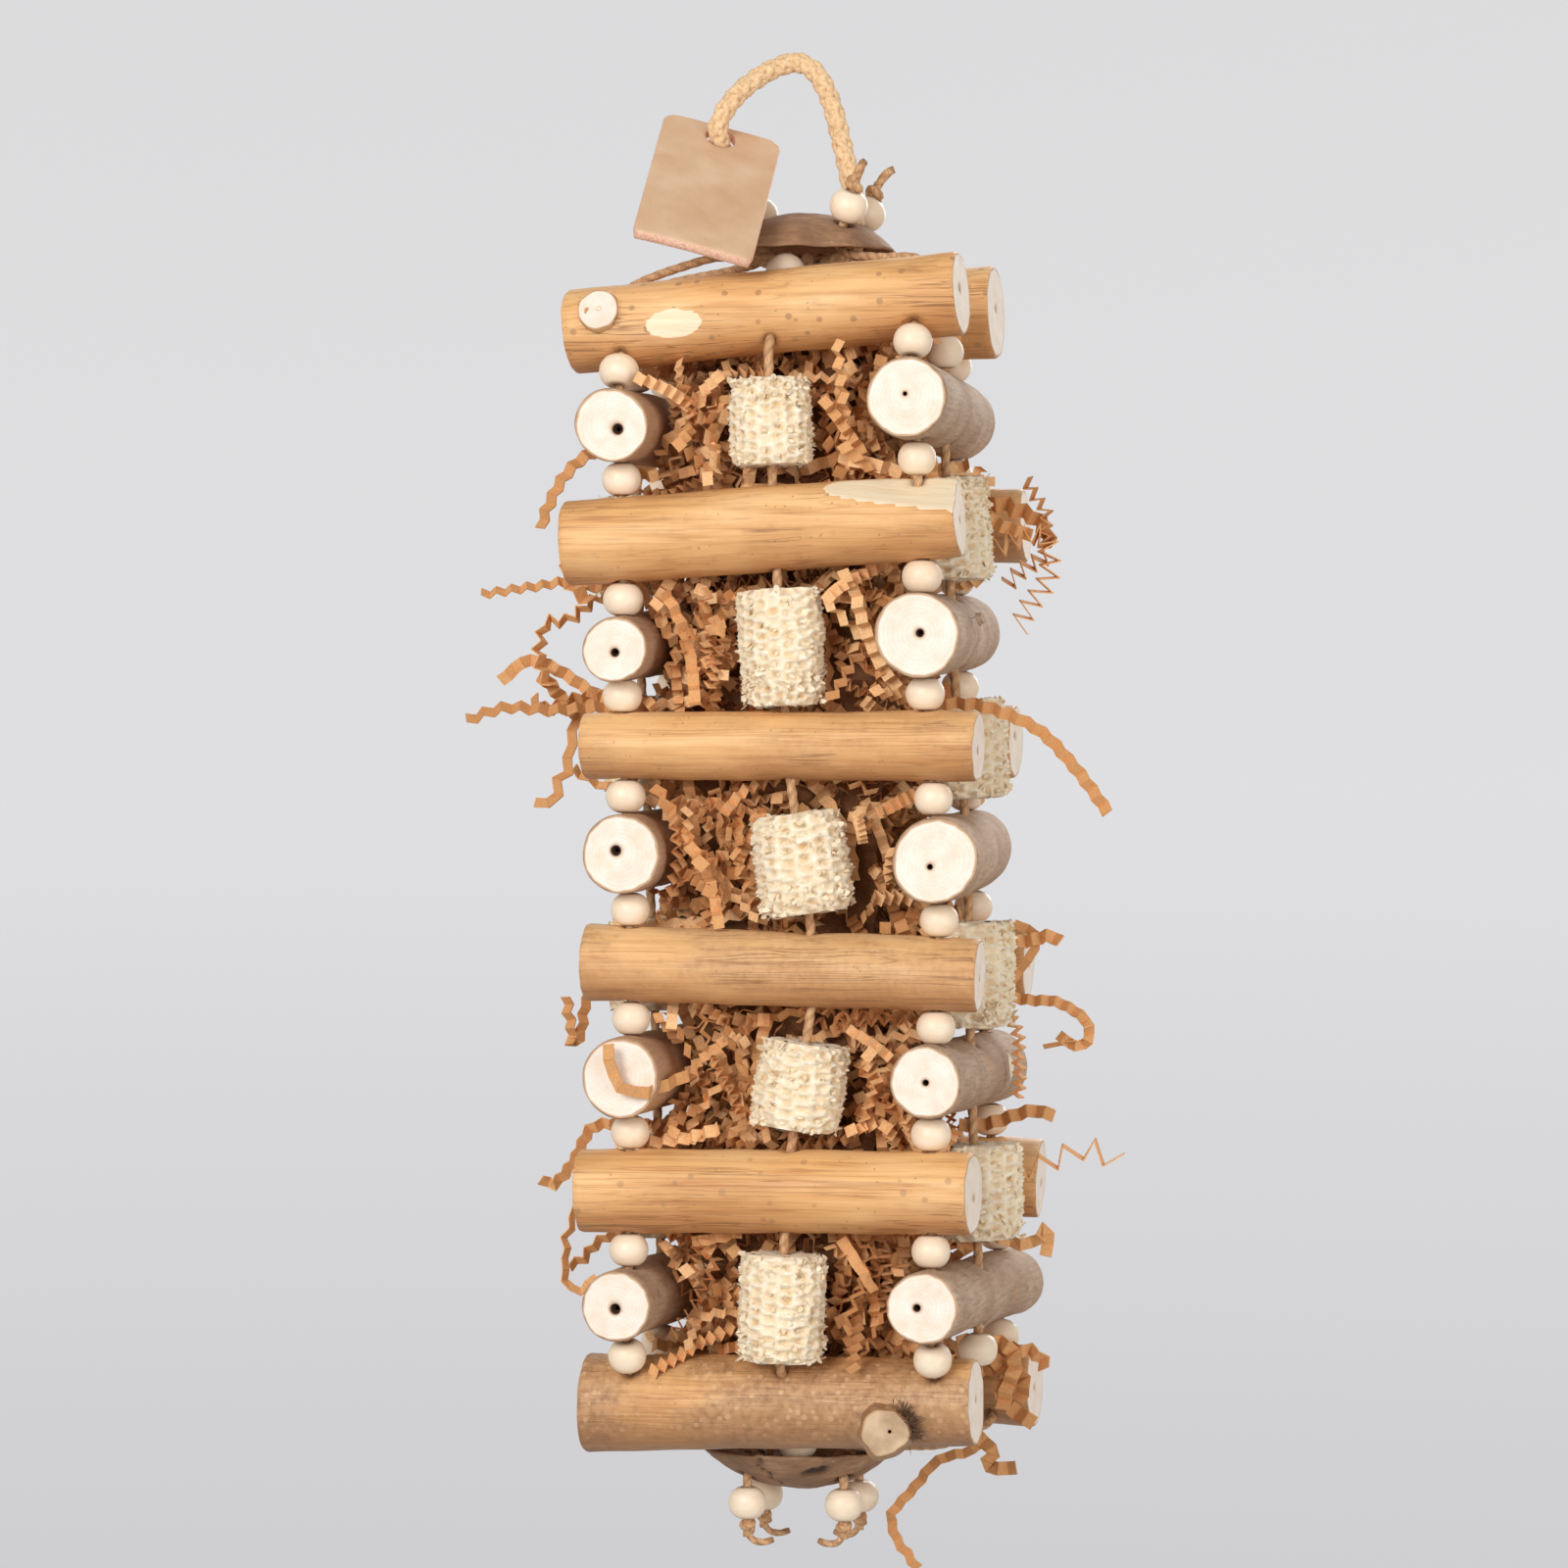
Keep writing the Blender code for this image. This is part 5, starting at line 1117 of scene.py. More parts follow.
def build_corner_string(corner, sticks, materials, seed):
    """Cord, layer beads, and the end bead and knot that hold the cord on the top cap."""
    chance = random.Random(seed)
    face = corner.split("_")[0]
    node = "corner_string_" + corner
    beads = bead_middles(node)
    mass = Mass(**STRING_VALUES)
    top = run_to_cap(corner, beads[0][0], sticks[face + "_stick_1"], TOP_CAP_Z, 1)
    bottom = run_to_cap(corner, beads[-1][0], sticks[face + "_stick_6"], BOTTOM_CAP_Z, -1)
    add_cord(mass, smooth_route(top, 1.0))
    add_cord(mass, smooth_route(bottom, 1.0))
    add_cord(mass, [top[-1]] + [middle for middle, axis in beads] + [bottom[-1]])
    for middle, axis in beads:
        add_bead(mass, middle, axis, chance)
    point, normal = cap_hole(corner, TOP_CAP_Z, 1)
    axis = unit(normal + np.array(STRING_LEAN.get(corner, (0, 0, 0))))
    bead = point + normal * 0.6 + axis * (BEAD_HALF + 0.4)
    add_bead(mass, bead, axis, chance)
    add_knot(mass, bead + axis * (BEAD_HALF + KNOT_HALF), axis, STRING_TAIL[corner], chance, 1.5)
    mass.piece(node + "_beads", materials, "tower", "beads_and_cord", [node])


def build_bottom_tail(corner, materials, seed):
    """End bead and knot that swing under the bottom cap on the end of a corner string."""
    chance = random.Random(seed)
    node = "bottom_tail_" + corner
    point = joint_of(node)[0]
    across = corner_sign(corner)[0]
    down = np.array((0, 0, -1.0))
    bead = point + down * TAIL_DROP
    mass = Mass(**STRING_VALUES)
    add_cord(mass, [point - down * 0.6, bead, bead + down * (BEAD_HALF + 1)])
    add_bead(mass, bead, down, chance)
    add_knot(mass, bead + down * (BEAD_HALF + KNOT_HALF), down, (-across * 8.0, 0.5, 1.4), chance)
    mass.piece(node + "_bead", materials, node, "beads_and_cord", [node])


def shell_material():
    """Brown nut shell: matt, with fibres, darker blotches, and drilled holes and splits painted dark as
    shade.
    """
    surface = Surface("nut_shell", roughness=0.72)
    blotch = surface.noise(75, detail=5)
    fibre = surface.noise(800, stretch=(0.15, 1, 1))
    colour = surface.ramp(blotch, (0.3, (0.22, 0.105, 0.048)), (0.5, (0.36, 0.19, 0.095)),
                          (0.7, (0.50, 0.295, 0.165)))
    colour = surface.tint(colour, (0.20, 0.10, 0.05), surface.ramp(fibre, (0.38, 0.55), (0.6, 0.0)))
    dust = lenticels(surface, 420, 0.13, 0.3)
    colour = surface.tint(colour, (0.58, 0.42, 0.29), dust, 0.5)
    colour = surface.tint(colour, (0.045, 0.022, 0.012), "dark")
    return surface.finish(colour, surface.plus(fibre, blotch), bump=0.4, depth=0.5)


def cap_profile():
    """Rise and reach of the dome's outer face, its rim and its hollow."""
    outer = dome_radius(CAP_RADIUS, CAP_RISE)
    reach = CAP_RADIUS - CAP_RIM_WALL
    inner = dome_radius(reach, CAP_RISE - CAP_THICKNESS)
    shares = np.linspace(0.02, 1, 34)
    rows = [(CAP_RADIUS * s, math.sqrt(outer ** 2 - (CAP_RADIUS * s) ** 2) - outer) for s in shares]
    rows.append((CAP_RADIUS - 0.8, -CAP_RISE - 0.35))
    rows.append((reach + 0.7, -CAP_RISE - 0.3))
    for s in shares[::-2]:
        rows.append((reach * s, math.sqrt(inner ** 2 - (reach * s) ** 2) - inner - CAP_THICKNESS))
    return rows


def build_cap(name, top_z, sign, holes, splits, material):
    """A shell dome with a ragged rim; holes are (x, y, half width, half depth), splits run outwards; both
    are dented in and painted dark as shade.
    """
    columns = 120
    turns = turns_round(columns)
    wobble = 1 + np.sin(3 * turns + 1) * np.cos(2 * turns)
    drift = Vector((0, 0, top_z))
    points = []
    dark = []
    for reach, height in cap_profile():
        share = reach / CAP_RADIUS
        flat = reach * (1 - 0.05 * share ** 3 * wobble)
        ring = np.stack([flat * np.cos(turns), flat * np.sin(turns), np.zeros(columns)], axis=1)
        rough = np.array([noise.noise(Vector(place) / 9 + drift) for place in ring])
        chip = np.array([noise.noise(Vector(place) / 2.6 + drift) for place in ring])
        ring *= (1 + 0.012 * share ** 4 * (rough + chip))[:, None]
        drop = height + 0.5 * rough + 0.15 * chip
        shade = np.zeros(columns)
        # Holes and splits: dented in and painted dark as shade.
        for x, y, half_width, half_depth in holes:
            away = np.sqrt(((ring[:, 0] - x) / half_width) ** 2 + ((ring[:, 1] - y) / half_depth) ** 2)
            shade = np.maximum(shade, np.clip((1.12 - away) / 0.2, 0, 1))
        for turn, first, last in splits:
            lean = turn + 0.05 * math.sin(reach * 0.9)
            away = np.abs((turns - lean + math.pi) % (2 * math.pi) - math.pi) * reach
            inside = np.clip((0.75 - away) / 0.5, 0, 1) * (first < reach < last)
            shade = np.maximum(shade, inside)
        ring[:, 2] = top_z + sign * (drop - 1.6 * shade)
        points.append(ring)
        dark.append(shade)
    faces = grid_faces(len(points), columns)
    last = len(points) * columns
    faces += [tuple(range(columns)), tuple(range(last - columns, last))]
    mass = Mass()
    mass.add(np.concatenate(points), faces, dark=np.concatenate(dark))
    mass.piece(name + "_dome", [material], "tower", "nut_shell", [name])


def build_caps():
    material = shell_material()
    across, deep = CAP_STRING_HOLE
    strings = [(x, y, CAP_STRING_RADIUS, CAP_STRING_RADIUS)
               for x in (-across, across) for y in (-deep, deep)]
    ropes = [(x, 0, CAP_ROPE_RADIUS, CAP_ROPE_RADIUS) for x in (-CAP_ROPE_HOLE_X, CAP_ROPE_HOLE_X)]
    build_cap("top_shell_cap", TOP_CAP_Z, 1, strings + ropes, [(4.2, 18, 31)], material)
    build_cap("bottom_shell_cap", BOTTOM_CAP_Z, -1, strings + [(8, -22, 4.2, 2.2)], [(4.42, 12, 31)],
              material)


def add_braid(mass, line, diameter):
    for path, strand in braid(spaced(line, ROPE_STEP), diameter):
        points, faces = closed_tube(path, strand, 7, ridges=3, twist=STRAND_TWIST)
        # A light, even share of the jute's painted crease shade over the whole knot.
        mass.add(points, faces, groove=0.15)


def build_rope_knot(material):
    """The rope's two ends under the top cap, tied in one fat knot."""
    mass = Mass()
    drop = np.array((0, 0, -1.0))
    left = np.array((-CAP_ROPE_HOLE_X, 0, ROPE_END_Z))
    right = np.array((CAP_ROPE_HOLE_X, 0, ROPE_END_Z))
    middle = (left + right) / 2 + drop * 13.6
    for start, way in ((left, 1), (right, -1)):
        turn_in = start + drop * 8 + np.array((way * 3, 0, 0))
        route = smooth_route([start, start + drop * 5, turn_in, middle - np.array((way * 4, 0, 0))],
                             ROPE_STEP)
        add_braid(mass, route, ROPE_DIAMETER * 0.92)
    wrap = []
    for t in np.linspace(0, 1, 60):
        turn = 2 * math.pi * 2.2 * t
        wrap.append(middle + np.array((6.4 * (t - 0.5) * 1.3, 3.9 * math.cos(turn), 3.9 * math.sin(turn))))
    add_braid(mass, np.array(wrap), ROPE_DIAMETER * 0.85)
    mass.piece("rope_knot_braid", [material], "tower", "jute_rope", ["rope_knot"])


def leather_material():
    """Vegetable-tanned leather: fine pores, cloudy tan and a raw, pinkish cut edge."""
    surface = Surface("leather", roughness=0.5)
    cloud = surface.noise(65)
    pores = surface.add("TexVoronoi", Vector=surface.coords(), Scale=1900).outputs["Distance"]
    crease = surface.noise(330, detail=5)
    colour = surface.ramp(cloud, (0.3, (0.64, 0.375, 0.205)), (0.5, (0.71, 0.455, 0.27)),
                          (0.7, (0.77, 0.53, 0.345)))
    colour = surface.tint(colour, (0.55, 0.30, 0.16), surface.ramp(pores, (0.1, 0.22), (0.4, 0.0)))
    fibres = surface.noise(1500, detail=3)
    raw = surface.ramp(fibres, (0.35, (0.66, 0.33, 0.20)), (0.6, (0.84, 0.53, 0.39)))
    colour = surface.tint(colour, raw, "edge")
    height = surface.plus(surface.times(pores, 0.5), crease)
    return surface.finish(colour, height, bump=0.22, depth=0.25)


def build_tag():
    """A die-cut leather tag, left bare, with a punched hole, soft edges and a slight curl."""
    down = unit(TAG_DOWN)
    across = unit(np.array(TAG_ACROSS) - down * np.dot(TAG_ACROSS, down))
    face = np.cross(across, down)
    half = TAG_WIDTH / 2
    columns = 160
    turns = turns_round(columns)
    outline = np.array([tag_edge(math.sin(turn), math.cos(turn), half) for turn in turns])
    hole = np.stack([np.sin(turns), np.cos(turns)], axis=1) * TAG_HOLE_RADIUS
    shares = np.concatenate([[0, 0.012], np.linspace(0.04, 0.97, 26), [0.99, 1.0]])
    points = []
    edge = []
    for side in (1, -1):
        for share in shares[::side]:
            flat = hole + (outline - hole) * share
            margin = np.minimum(share, 1 - share) * np.linalg.norm(outline - hole, axis=1)
            thick = TAG_THICKNESS / 2 * np.clip(0.72 + 0.28 * np.sqrt(np.clip(margin / 0.9, 0, 1)), 0, 1)
            curl = TAG_CURL * (flat[:, 1] / TAG_BELOW_HOLE) ** 2 + 0.5 * (flat[:, 0] / half) ** 2 - 0.2
            points.append(np.array(TAG_HOLE) + flat[:, :1] * across + flat[:, 1:] * down
                          + (side * thick + curl)[:, None] * face)
            edge.append(np.clip(1 - margin / 0.35, 0, 1))
    last = (len(points) - 1) * columns
    faces = grid_faces(len(points), columns)
    faces += [(last + k, last + (k + 1) % columns, (k + 1) % columns, k) for k in range(columns)]
    mass = Mass()
    mass.add(np.concatenate(points), faces, edge=np.concatenate(edge))
    mass.piece("leather_tag_hide", [leather_material()], "tag", "leather", ["leather_tag"])


def tag_edge(across, down, half):
    """The outline's point in a direction from the hole: straight sides and rounded corners."""
    low, high = -TAG_ABOVE_HOLE, TAG_BELOW_HOLE
    reach = min(half / max(abs(across), 1e-6), (high / down if down > 0 else low / min(down, -1e-6)))
    corner = TAG_CORNER if down < 0 else TAG_LOW_CORNER
    x, y = across * reach, down * reach
    middle_x = math.copysign(half - corner, across)
    middle_y = low + corner if down < 0 else high - corner
    beyond = abs(x) > half - corner and (y < middle_y if down < 0 else y > middle_y)
    if beyond:
        b = across * middle_x + down * middle_y
        c = middle_x ** 2 + middle_y ** 2 - corner ** 2
        reach = b + math.sqrt(max(0.0, b * b - c))
    return across * reach, down * reach


def cob_material():
    """Dry cob: creamy chaff over straw-coloured sockets that darken with depth, partly as painted shade,
    and a bore painted dark as shade.
    """
    surface = Surface("corncob", roughness=0.85, Sheen_Weight=0.2)
    tuft = surface.noise(420)
    fibre = surface.noise(2200, detail=2)
    colour = surface.ramp(tuft, (0.3, (0.86, 0.675, 0.43)), (0.48, (0.94, 0.805, 0.59)),
                          (0.66, (0.97, 0.885, 0.73)))
    colour = surface.tint(colour, (0.80, 0.61, 0.36), surface.ramp(fibre, (0.3, 0.35), (0.5, 0.0)))
    pit = surface.times(surface.attribute("pit"), 0.8)
    colour = surface.tint(colour, (0.62, 0.375, 0.14), pit)
    colour = surface.tint(colour, (0.14, 0.07, 0.03), "dark")
    return surface.finish(colour, fibre, bump=0.5, depth=0.35)


def socket_relief(turns, heights, columns, row_height, shift, cups):
    """Depth of the kernel sockets: cups in rows that step by half a cup from one row to the next."""
    across = turns / (2 * math.pi) * columns
    row = np.floor(across)
    column = row.astype(int) % columns
    up = heights / row_height + 0.5 * (row % 2) + shift[column]
    side = across - row - 0.5
    cup = up - np.floor(up) - 0.5
    size = cups[column, np.floor(up).astype(int) % cups.shape[1]]
    pocket = size * np.exp(-((np.abs(side) / 0.33) ** 3 + (np.abs(cup + 0.06) / 0.29) ** 3))
    lip = np.clip((cup - 0.12) / 0.3, 0, 1) * np.clip((0.5 - np.abs(side)) / 0.14, 0, 1)
    ridge = np.clip((np.abs(side) - 0.36) / 0.14, 0, 1)
    return -SOCKET_DEPTH * pocket + SOCKET_LIP * lip * (1.5 - size) + SOCKET_RIDGE * ridge, pocket


def build_cob(name, seed, material):
    """A slice of cob: rows of sockets with ragged lips, loose chaff and a bored, pithy core."""
    chance = random.Random(seed)
    middle, axis = joint_of(name)
    axis *= math.copysign(1, axis[2]) / np.linalg.norm(axis)
    points = node_mesh(name)[0]
    heights = (points - middle) @ axis
    middle = middle + axis * (heights.max() + heights.min()) / 2
    half = (heights.max() - heights.min()) / 2
    radius = np.linalg.norm(np.cross(points - middle, axis), axis=1).max() - 0.5
    side, across = sides_of(axis, (0.3, 1, 0.1))
    socket_columns = chance.choice((16, 18))
    row_height = 2 * half / round(2 * half / COB_SOCKET)
    shift = np.array([chance.uniform(-0.2, 0.2) for _ in range(socket_columns)])
    cups = [[chance.triangular(0.15, 1.15, 0.8) for _ in range(COB_CUPS)] for _ in range(socket_columns)]
    columns = socket_columns * COB_FINENESS
    rows = round(2 * half / row_height) * COB_FINENESS + 1
    turns = turns_round(columns)
    drift = Vector((seed * 2.3, seed * 4.1, seed * 1.7))
    spokes = spokes_at(turns, side, across)
    lean = chance.uniform(-COB_LEAN, COB_LEAN)
    barrel = chance.uniform(*COB_BARREL)
    skin = []
    pits = []
    for level in np.linspace(-half, half, rows):
        rise = np.full(columns, level + half)
        relief, pocket = socket_relief(turns, rise, socket_columns, row_height, shift, np.array(cups))
        near_end = min(half - level, half + level)
        shoulder = 1.5 * math.exp(-near_end / 1.3)
        base = radius - 0.4 - shoulder + lean * level - barrel * (level / half) ** 2
        places = [Vector(spoke * radius + axis * level) for spoke in spokes]
        crumb = np.array([noise.noise(place / 2.1 + drift) for place in places])
        lump = np.array([noise.noise(place / 9 + drift) for place in places])
        reach = base + relief + COB_CRUMB * crumb + COB_CRUMB * lump
        skin.append(middle + axis * (level + 0.35 * lump[:, None]) + spokes * reach[:, None])
        # pit: the sockets darken with their depth, their own straw colour together with painted shade, and
        # spots where the surface sinks darken as painted shade.
        pits.append(np.clip(pocket * 0.8 + 0.35 * np.clip(-crumb, 0, 1), 0, 1))
    mass = Mass()
    mass.add(np.concatenate(skin), grid_faces(rows, columns), pit=np.concatenate(pits), dark=0.0)
    for rim, sign in ((skin[0], -1), (skin[-1], 1)):
        add_cob_end(mass, rim, middle + axis * half * sign, axis * sign, drift)
    for _ in range(COB_CHAFF):
        add_chaff(mass, middle, axis, side, across, half, radius, chance)
    mass.piece(name + "_slice", [material], name, "corncob", [name], outwards=False)


def add_cob_end(mass, rim, centre, outward, drift):
    """The cut end: torn chaff outside, a woody ring, and soft pith round the cord's bore."""
    spread = rim - centre
    flat = spread - np.outer(spread @ outward, outward)
    rings = []
    pit = []
    for share, pale in COB_END_RINGS:
        ring = centre + flat * share
        places = [Vector(point) for point in ring]
        rough = np.array([noise.noise(place / 1.5 + drift) + noise.noise(place / 4 + drift)
                          for place in places])
        lift = (spread @ outward) * max(0, share - 0.8) * 5 + rough * 0.55 * min(1, share * 1.6)
        rings.append(ring + np.outer(lift, outward))
        pit.append(np.clip(pale + 0.25 * rough, 0, 1))
    spokes = units(flat)
    # The cord's bore: painted dark as the shade inside it.
    rings += [centre + spokes * 2.3 + outward * 0.1, centre + spokes * 2.0 - outward * 2.5]
    pit += [np.full(len(rim), 0.6), np.full(len(rim), 1.0)]
    dark = np.repeat([0] * len(COB_END_RINGS) + [0.35, 1], len(rim))
    mass.add(np.concatenate(rings), faced_outwards(rings, outward), pit=np.concatenate(pit), dark=dark)


def add_chaff(mass, middle, axis, side, across, half, radius, chance):
    """One papery flake of chaff that stands off the slice."""
    turn = chance.uniform(0, 2 * math.pi)
    spoke = math.cos(turn) * side + math.sin(turn) * across
    round_way = np.cross(axis, spoke)
    root = middle + axis * chance.uniform(-half * 0.98, half * 0.98)
    root = root + spoke * (radius - chance.uniform(0.9, 1.7))
    lean = axis * chance.uniform(-0.7, 1.0) + spoke * chance.uniform(0.35, 1.1)
    lean = unit(lean + round_way * chance.uniform(-0.6, 0.6))
    width = np.cross(lean, spoke)
    width = round_way if np.linalg.norm(width) < 0.2 else width / np.linalg.norm(width)
    width = width * chance.uniform(0.5, 1.15)
    long = chance.uniform(0.9, 2.4)
    curl = spoke * chance.uniform(-0.4, 0.3)
    belly = root + lean * long * 0.6
    tip = root + lean * long + curl
    points = [root - width, root + width, belly + width * 0.9, belly - width * 0.9, tip + width * 0.3,
              tip - width * 0.45]
    mass.add(points, [(0, 1, 2, 3), (3, 2, 4, 5)], pit=chance.uniform(0, 0.25), dark=0.0)


def middle_line(name, step=1.5):
    """Centreline of an upright cord's solid, from its level sections."""
    points, triangles = node_mesh(name)
    pairs = [pair for a, b, c in triangles for pair in ((a, b), (b, c), (c, a))]
    edges = np.array(sorted({tuple(sorted(pair)) for pair in pairs}))
    first, second = points[edges[:, 0]], points[edges[:, 1]]
    line = []
    for z in np.arange(points[:, 2].max() - 0.5, points[:, 2].min() + 0.4, -step):
        cross = (first[:, 2] - z) * (second[:, 2] - z) < 0
        if cross.any():
            share = ((z - first[cross, 2]) / (second[cross, 2] - first[cross, 2]))[:, None]
            cut = first[cross] + (second[cross] - first[cross]) * share
            line.append((cut.max(axis=0) + cut.min(axis=0)) / 2)
    return np.array(line)


def build_face_cord(face, materials, seed):
    """The paper cord down the middle of a face, through sticks and cobs, with stopper beads at its ends."""
    chance = random.Random(seed)
    name = "face_cord_" + face
    mass = Mass(**STRING_VALUES)
    add_cord(mass, middle_line(name), FACE_CORD_RADIUS)
    for middle, axis in bead_middles(name):
        add_bead(mass, middle, axis, chance)
    mass.piece(name + "_twist", materials, "tower", "beads_and_cord", [name])


def kraft_material():
    """Kraft paper: fibrous mid-brown that varies a little from strip to strip; tone 0, used on the wad
    inside, is painted dark as shade.
    """
    surface = Surface("kraft_paper", roughness=0.8)
    fibre = surface.noise(1300)
    colour = surface.ramp(surface.attribute("tone"), (0.0, (0.17, 0.065, 0.02)), (0.2, (0.62, 0.285, 0.10)),
                          (0.6, (0.87, 0.465, 0.195)), (1.0, (0.97, 0.625, 0.325)))
    colour = surface.tint(colour, (0.42, 0.20, 0.075), surface.ramp(fibre, (0.35, 0.3), (0.6, 0.0)))
    colour = surface.tint(colour, (0.85, 0.53, 0.28), surface.ramp(fibre, (0.62, 0.0), (0.8, 0.4)))
    return surface.finish(colour, fibre, bump=0.2, depth=0.12)


def crinkled(route, width, fold, pitch, roll, facing=None):
    """Points of an accordion-folded strip along a route: a zigzag line with the strip's width across it."""
    line = spaced(np.asarray(route, float), pitch)
    tangents, side, across = carried_frames(line)
    turn = roll[0] + np.linspace(0, roll[1], len(line))
    if facing is not None:
        turn = turn + np.arctan2(across @ facing, side @ facing)
    fold = fold * (1 + 0.25 * np.sin(2.4 * np.arange(len(line)) + 5 * roll[0]))
    out = spokes_at(turn, side, across)
    wide = np.cross(tangents, out)
    zigzag = np.where(np.arange(len(line)) % 2 == 0, fold / 2, -fold / 2)[:, None] * out
    return np.stack([line + zigzag - wide * width / 2, line + zigzag + wide * width / 2], axis=1)


BOARD_FACES = [(0, 1, 2, 3), (7, 6, 5, 4), (0, 4, 5, 1), (1, 5, 6, 2), (2, 6, 7, 3), (3, 7, 4, 0)]


def add_thick_strip(mass, pairs, tone):
    """A strip whose panels are thin boards, so that it also shows edge-on."""
    for first, second in zip(pairs[:-1], pairs[1:]):
        corners = np.array([first[0], first[1], second[1], second[0]])
        normal = np.cross(corners[1] - corners[0], corners[2] - corners[1])
        normal *= PAPER_THICKNESS / 2 / np.linalg.norm(normal)
        mass.add(np.concatenate([corners + normal, corners - normal]), BOARD_FACES, tone=tone)


class Obstacles:
    """Everything that the paper lies round, as capsules."""

    def __init__(self, sticks):
        starts = [stick.start for stick in sticks.values()]
        ends = [stick.end for stick in sticks.values()]
        radii = [stick.radius + 0.9 for stick in sticks.values()]
        for joint in frame["joints"]:
            if "_cob_" not in joint["child"]:
                continue
            points = node_mesh(joint["child"])[0]
            middle, axis = joint_of(joint["child"])
            heights = (points - middle) @ axis
            radius = np.linalg.norm(np.cross(points - middle, axis), axis=1).max()
            starts.append(middle + axis * (heights.min() + radius * 0.55))
            ends.append(middle + axis * (heights.max() - radius * 0.55))
            radii.append(radius + 1.2)
        for corner in CORNERS:
            for middle, axis in bead_middles("corner_string_" + corner):
                starts.append(middle)
                ends.append(middle + axis * 0.01)
                radii.append(BEAD_RADIUS + 0.3)
        self.starts = np.array(starts)
        self.runs = np.array(ends) - self.starts
        self.radii = np.array(radii)
        self.squares = np.maximum((self.runs ** 2).sum(axis=1), 1e-9)

    def depth(self, points):
        """How deep the deepest of the points lies in anything."""
        offsets = points[:, None, :] - self.starts[None]
        share = np.clip((offsets * self.runs).sum(axis=2) / self.squares, 0, 1)
        away = np.linalg.norm(offsets - share[:, :, None] * self.runs, axis=2)
        return (self.radii - away).max()


def wander(start, heading, count, step, bend, chance):
    """A loosely curling route of so many steps from a start."""
    points = [np.array(start)]
    heading = unit(heading)
    turning = np.array([chance.gauss(0, bend) for _ in range(3)])
    for _ in range(count):
        turning = turning * 0.9 + np.array([chance.gauss(0, bend * 0.35) for _ in range(3)])
        heading = unit(heading + np.cross(turning, heading))
        points.append(points[-1] + heading * step)
    return np.array(points)


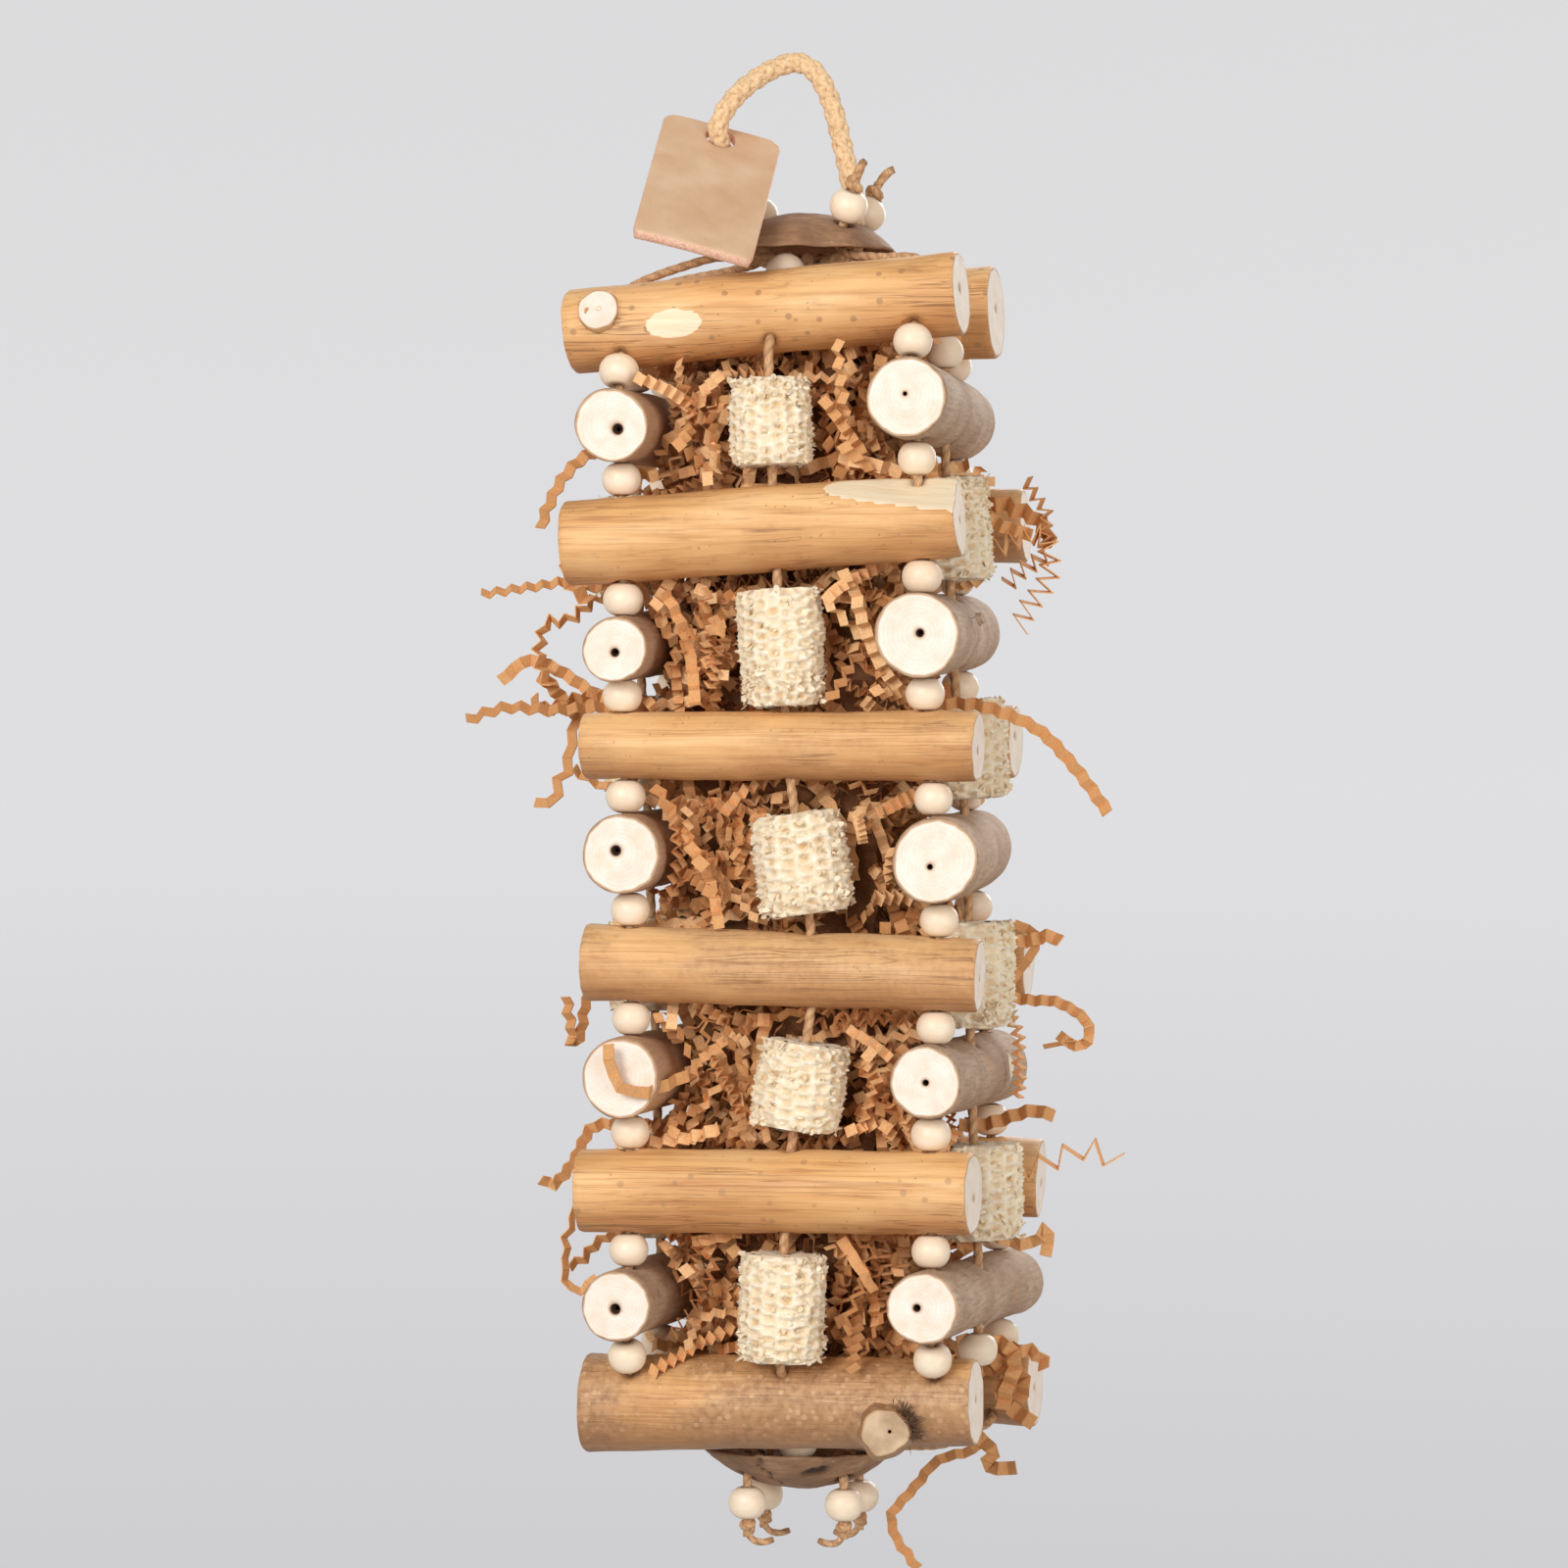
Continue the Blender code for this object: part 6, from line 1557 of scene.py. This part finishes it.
def build_paper(sticks, material):
    """A wad of paper inside, painted dark as the shade deep in the filling, and crinkled strips packed
    round it into every window.
    """
    chance = random.Random(PAPER_SEED)
    points, triangles = node_mesh("paper_fill")
    wad = BVHTree.FromPolygons(points.tolist(), triangles)
    obstacles = Obstacles(sticks)
    top, bottom = points[:, 2].max(), points[:, 2].min()
    mass = Mass()
    columns = 64
    rows = 150
    rings = []
    for z in np.linspace(top - 2, bottom + 2, rows):
        for k in range(columns):
            turn = 2 * math.pi * k / columns
            spoke = Vector((math.cos(turn), math.sin(turn), 0))
            distance = wad.ray_cast(Vector((0, 0, z)), spoke, PAPER_RAY)[3]
            lump = noise.noise(Vector((spoke.x * 9, spoke.y * 9, z / 3.5)))
            reach = (distance or 12) * PAPER_CORE + 3 * lump
            rings.append(Vector((0, 0, z)) + spoke * max(4, reach))
    ends = [tuple(range(columns)), tuple(range((rows - 1) * columns, rows * columns))]
    # The wad at tone 0: painted dark as the shade between the strips.
    mass.add(rings, grid_faces(rows, columns) + ends, tone=0.0)
    placed = 0
    taken = set()
    for _ in range(PAPER_TRIES):
        z = chance.uniform(bottom + 3, top - 3)
        turn = chance.uniform(0, 2 * math.pi)
        spoke = np.array((math.cos(turn), math.sin(turn), 0))
        distance = wad.ray_cast(Vector((0, 0, z)), Vector(spoke), PAPER_RAY)[3]
        start = spoke * ((distance or 20) + chance.triangular(-5, 16, 6)) + np.array((0, 0, z))
        heading = np.array([chance.gauss(0, 1), chance.gauss(0, 1), chance.gauss(0, 0.8)])
        heading -= spoke * heading.dot(spoke) * 0.6
        panel = chance.uniform(*PAPER_PANEL)
        angle = chance.triangular(*PAPER_FOLD)
        pitch = panel * math.cos(angle)
        count = round(chance.triangular(*PAPER_FOLDS))
        route = wander(start, heading, count, pitch, chance.uniform(0.01, 0.06), chance)
        cells = [tuple(cell) for cell in np.floor(route / PAPER_ROOM).astype(int)]
        if sum(cell in taken for cell in cells) > 0.3 * len(cells):
            continue
        pairs = crinkled(route, chance.uniform(*PAPER_WIDTH), panel * math.sin(angle), pitch,
                         (chance.uniform(0, 6.3), chance.uniform(-0.8, 0.8)))
        flat = pairs.reshape(-1, 3)
        outside = flat[:, 2].max() > top + 2 or flat[:, 2].min() < bottom - 4
        if outside or np.abs(flat[:, :2]).max() > PAPER_LIMIT or obstacles.depth(flat) > 0:
            continue
        tone = 0.12 + 0.88 * chance.betavariate(2.2, 1.7)
        mass.add(flat, grid_faces(len(pairs), 2, closed=False), tone=tone)
        taken.update(cells)
        placed += 1
        if placed == PAPER_STRIPS:
            break
    mass.piece("paper_fill_strips", [material], "tower", "kraft_paper", ["paper_fill"], smooth=False,
               outwards=False)


def build_strand(name, show, width, pitch, fold, depths, route, material, seed):
    """A stray strip that has worked its way out of a window: folds in profile, or flat like a ribbon."""
    chance = random.Random(seed)
    line = smooth_route([(x, depths[min(k, len(depths) - 1)], z) for k, (x, z) in enumerate(route)], 0.8)
    start = chance.uniform(0.95, 1.1) if show == "spring" else chance.uniform(0.25, 0.5)
    start *= chance.choice((-1, 1))
    mass = Mass()
    pairs = crinkled(line, width * 1.1, fold * 1.3, pitch, (start, chance.uniform(-0.4, 0.4)), FACING)
    add_thick_strip(mass, pairs, chance.uniform(0.2, 0.65))
    nodes = [STRAND_NODES[name]] if name in STRAND_NODES else ()
    mass.piece("paper_strip_" + name, [material], "tower", "kraft_paper", nodes, smooth=False,
               outwards=False)


build_camera()
build_backdrop()
build_lights()
jute = jute_material()
build_rope(jute)
build_rope_knot(jute)
sticks = build_sticks()
string_materials = [bead_material(), paper_cord_material()]
for seed, corner in enumerate(CORNERS):
    build_corner_string(corner, sticks, string_materials, seed + STRING_SEED)
    build_bottom_tail(corner, string_materials, seed + TAIL_SEED)
build_caps()
build_tag()
for seed, face in enumerate(("front", "back", "left", "right")):
    build_face_cord(face, string_materials, seed + FACE_CORD_SEED)
corncob = cob_material()
cob_names = [name for name in sorted(frame["nodes"]) if "_cob_" in name]
for seed, name in enumerate(cob_names):
    build_cob(name, seed + COB_SEED, corncob)
kraft = kraft_material()
build_paper(sticks, kraft)
for seed, (name, strand) in enumerate(STRANDS.items()):
    build_strand(name, *strand, kraft, seed + STRAND_SEED)
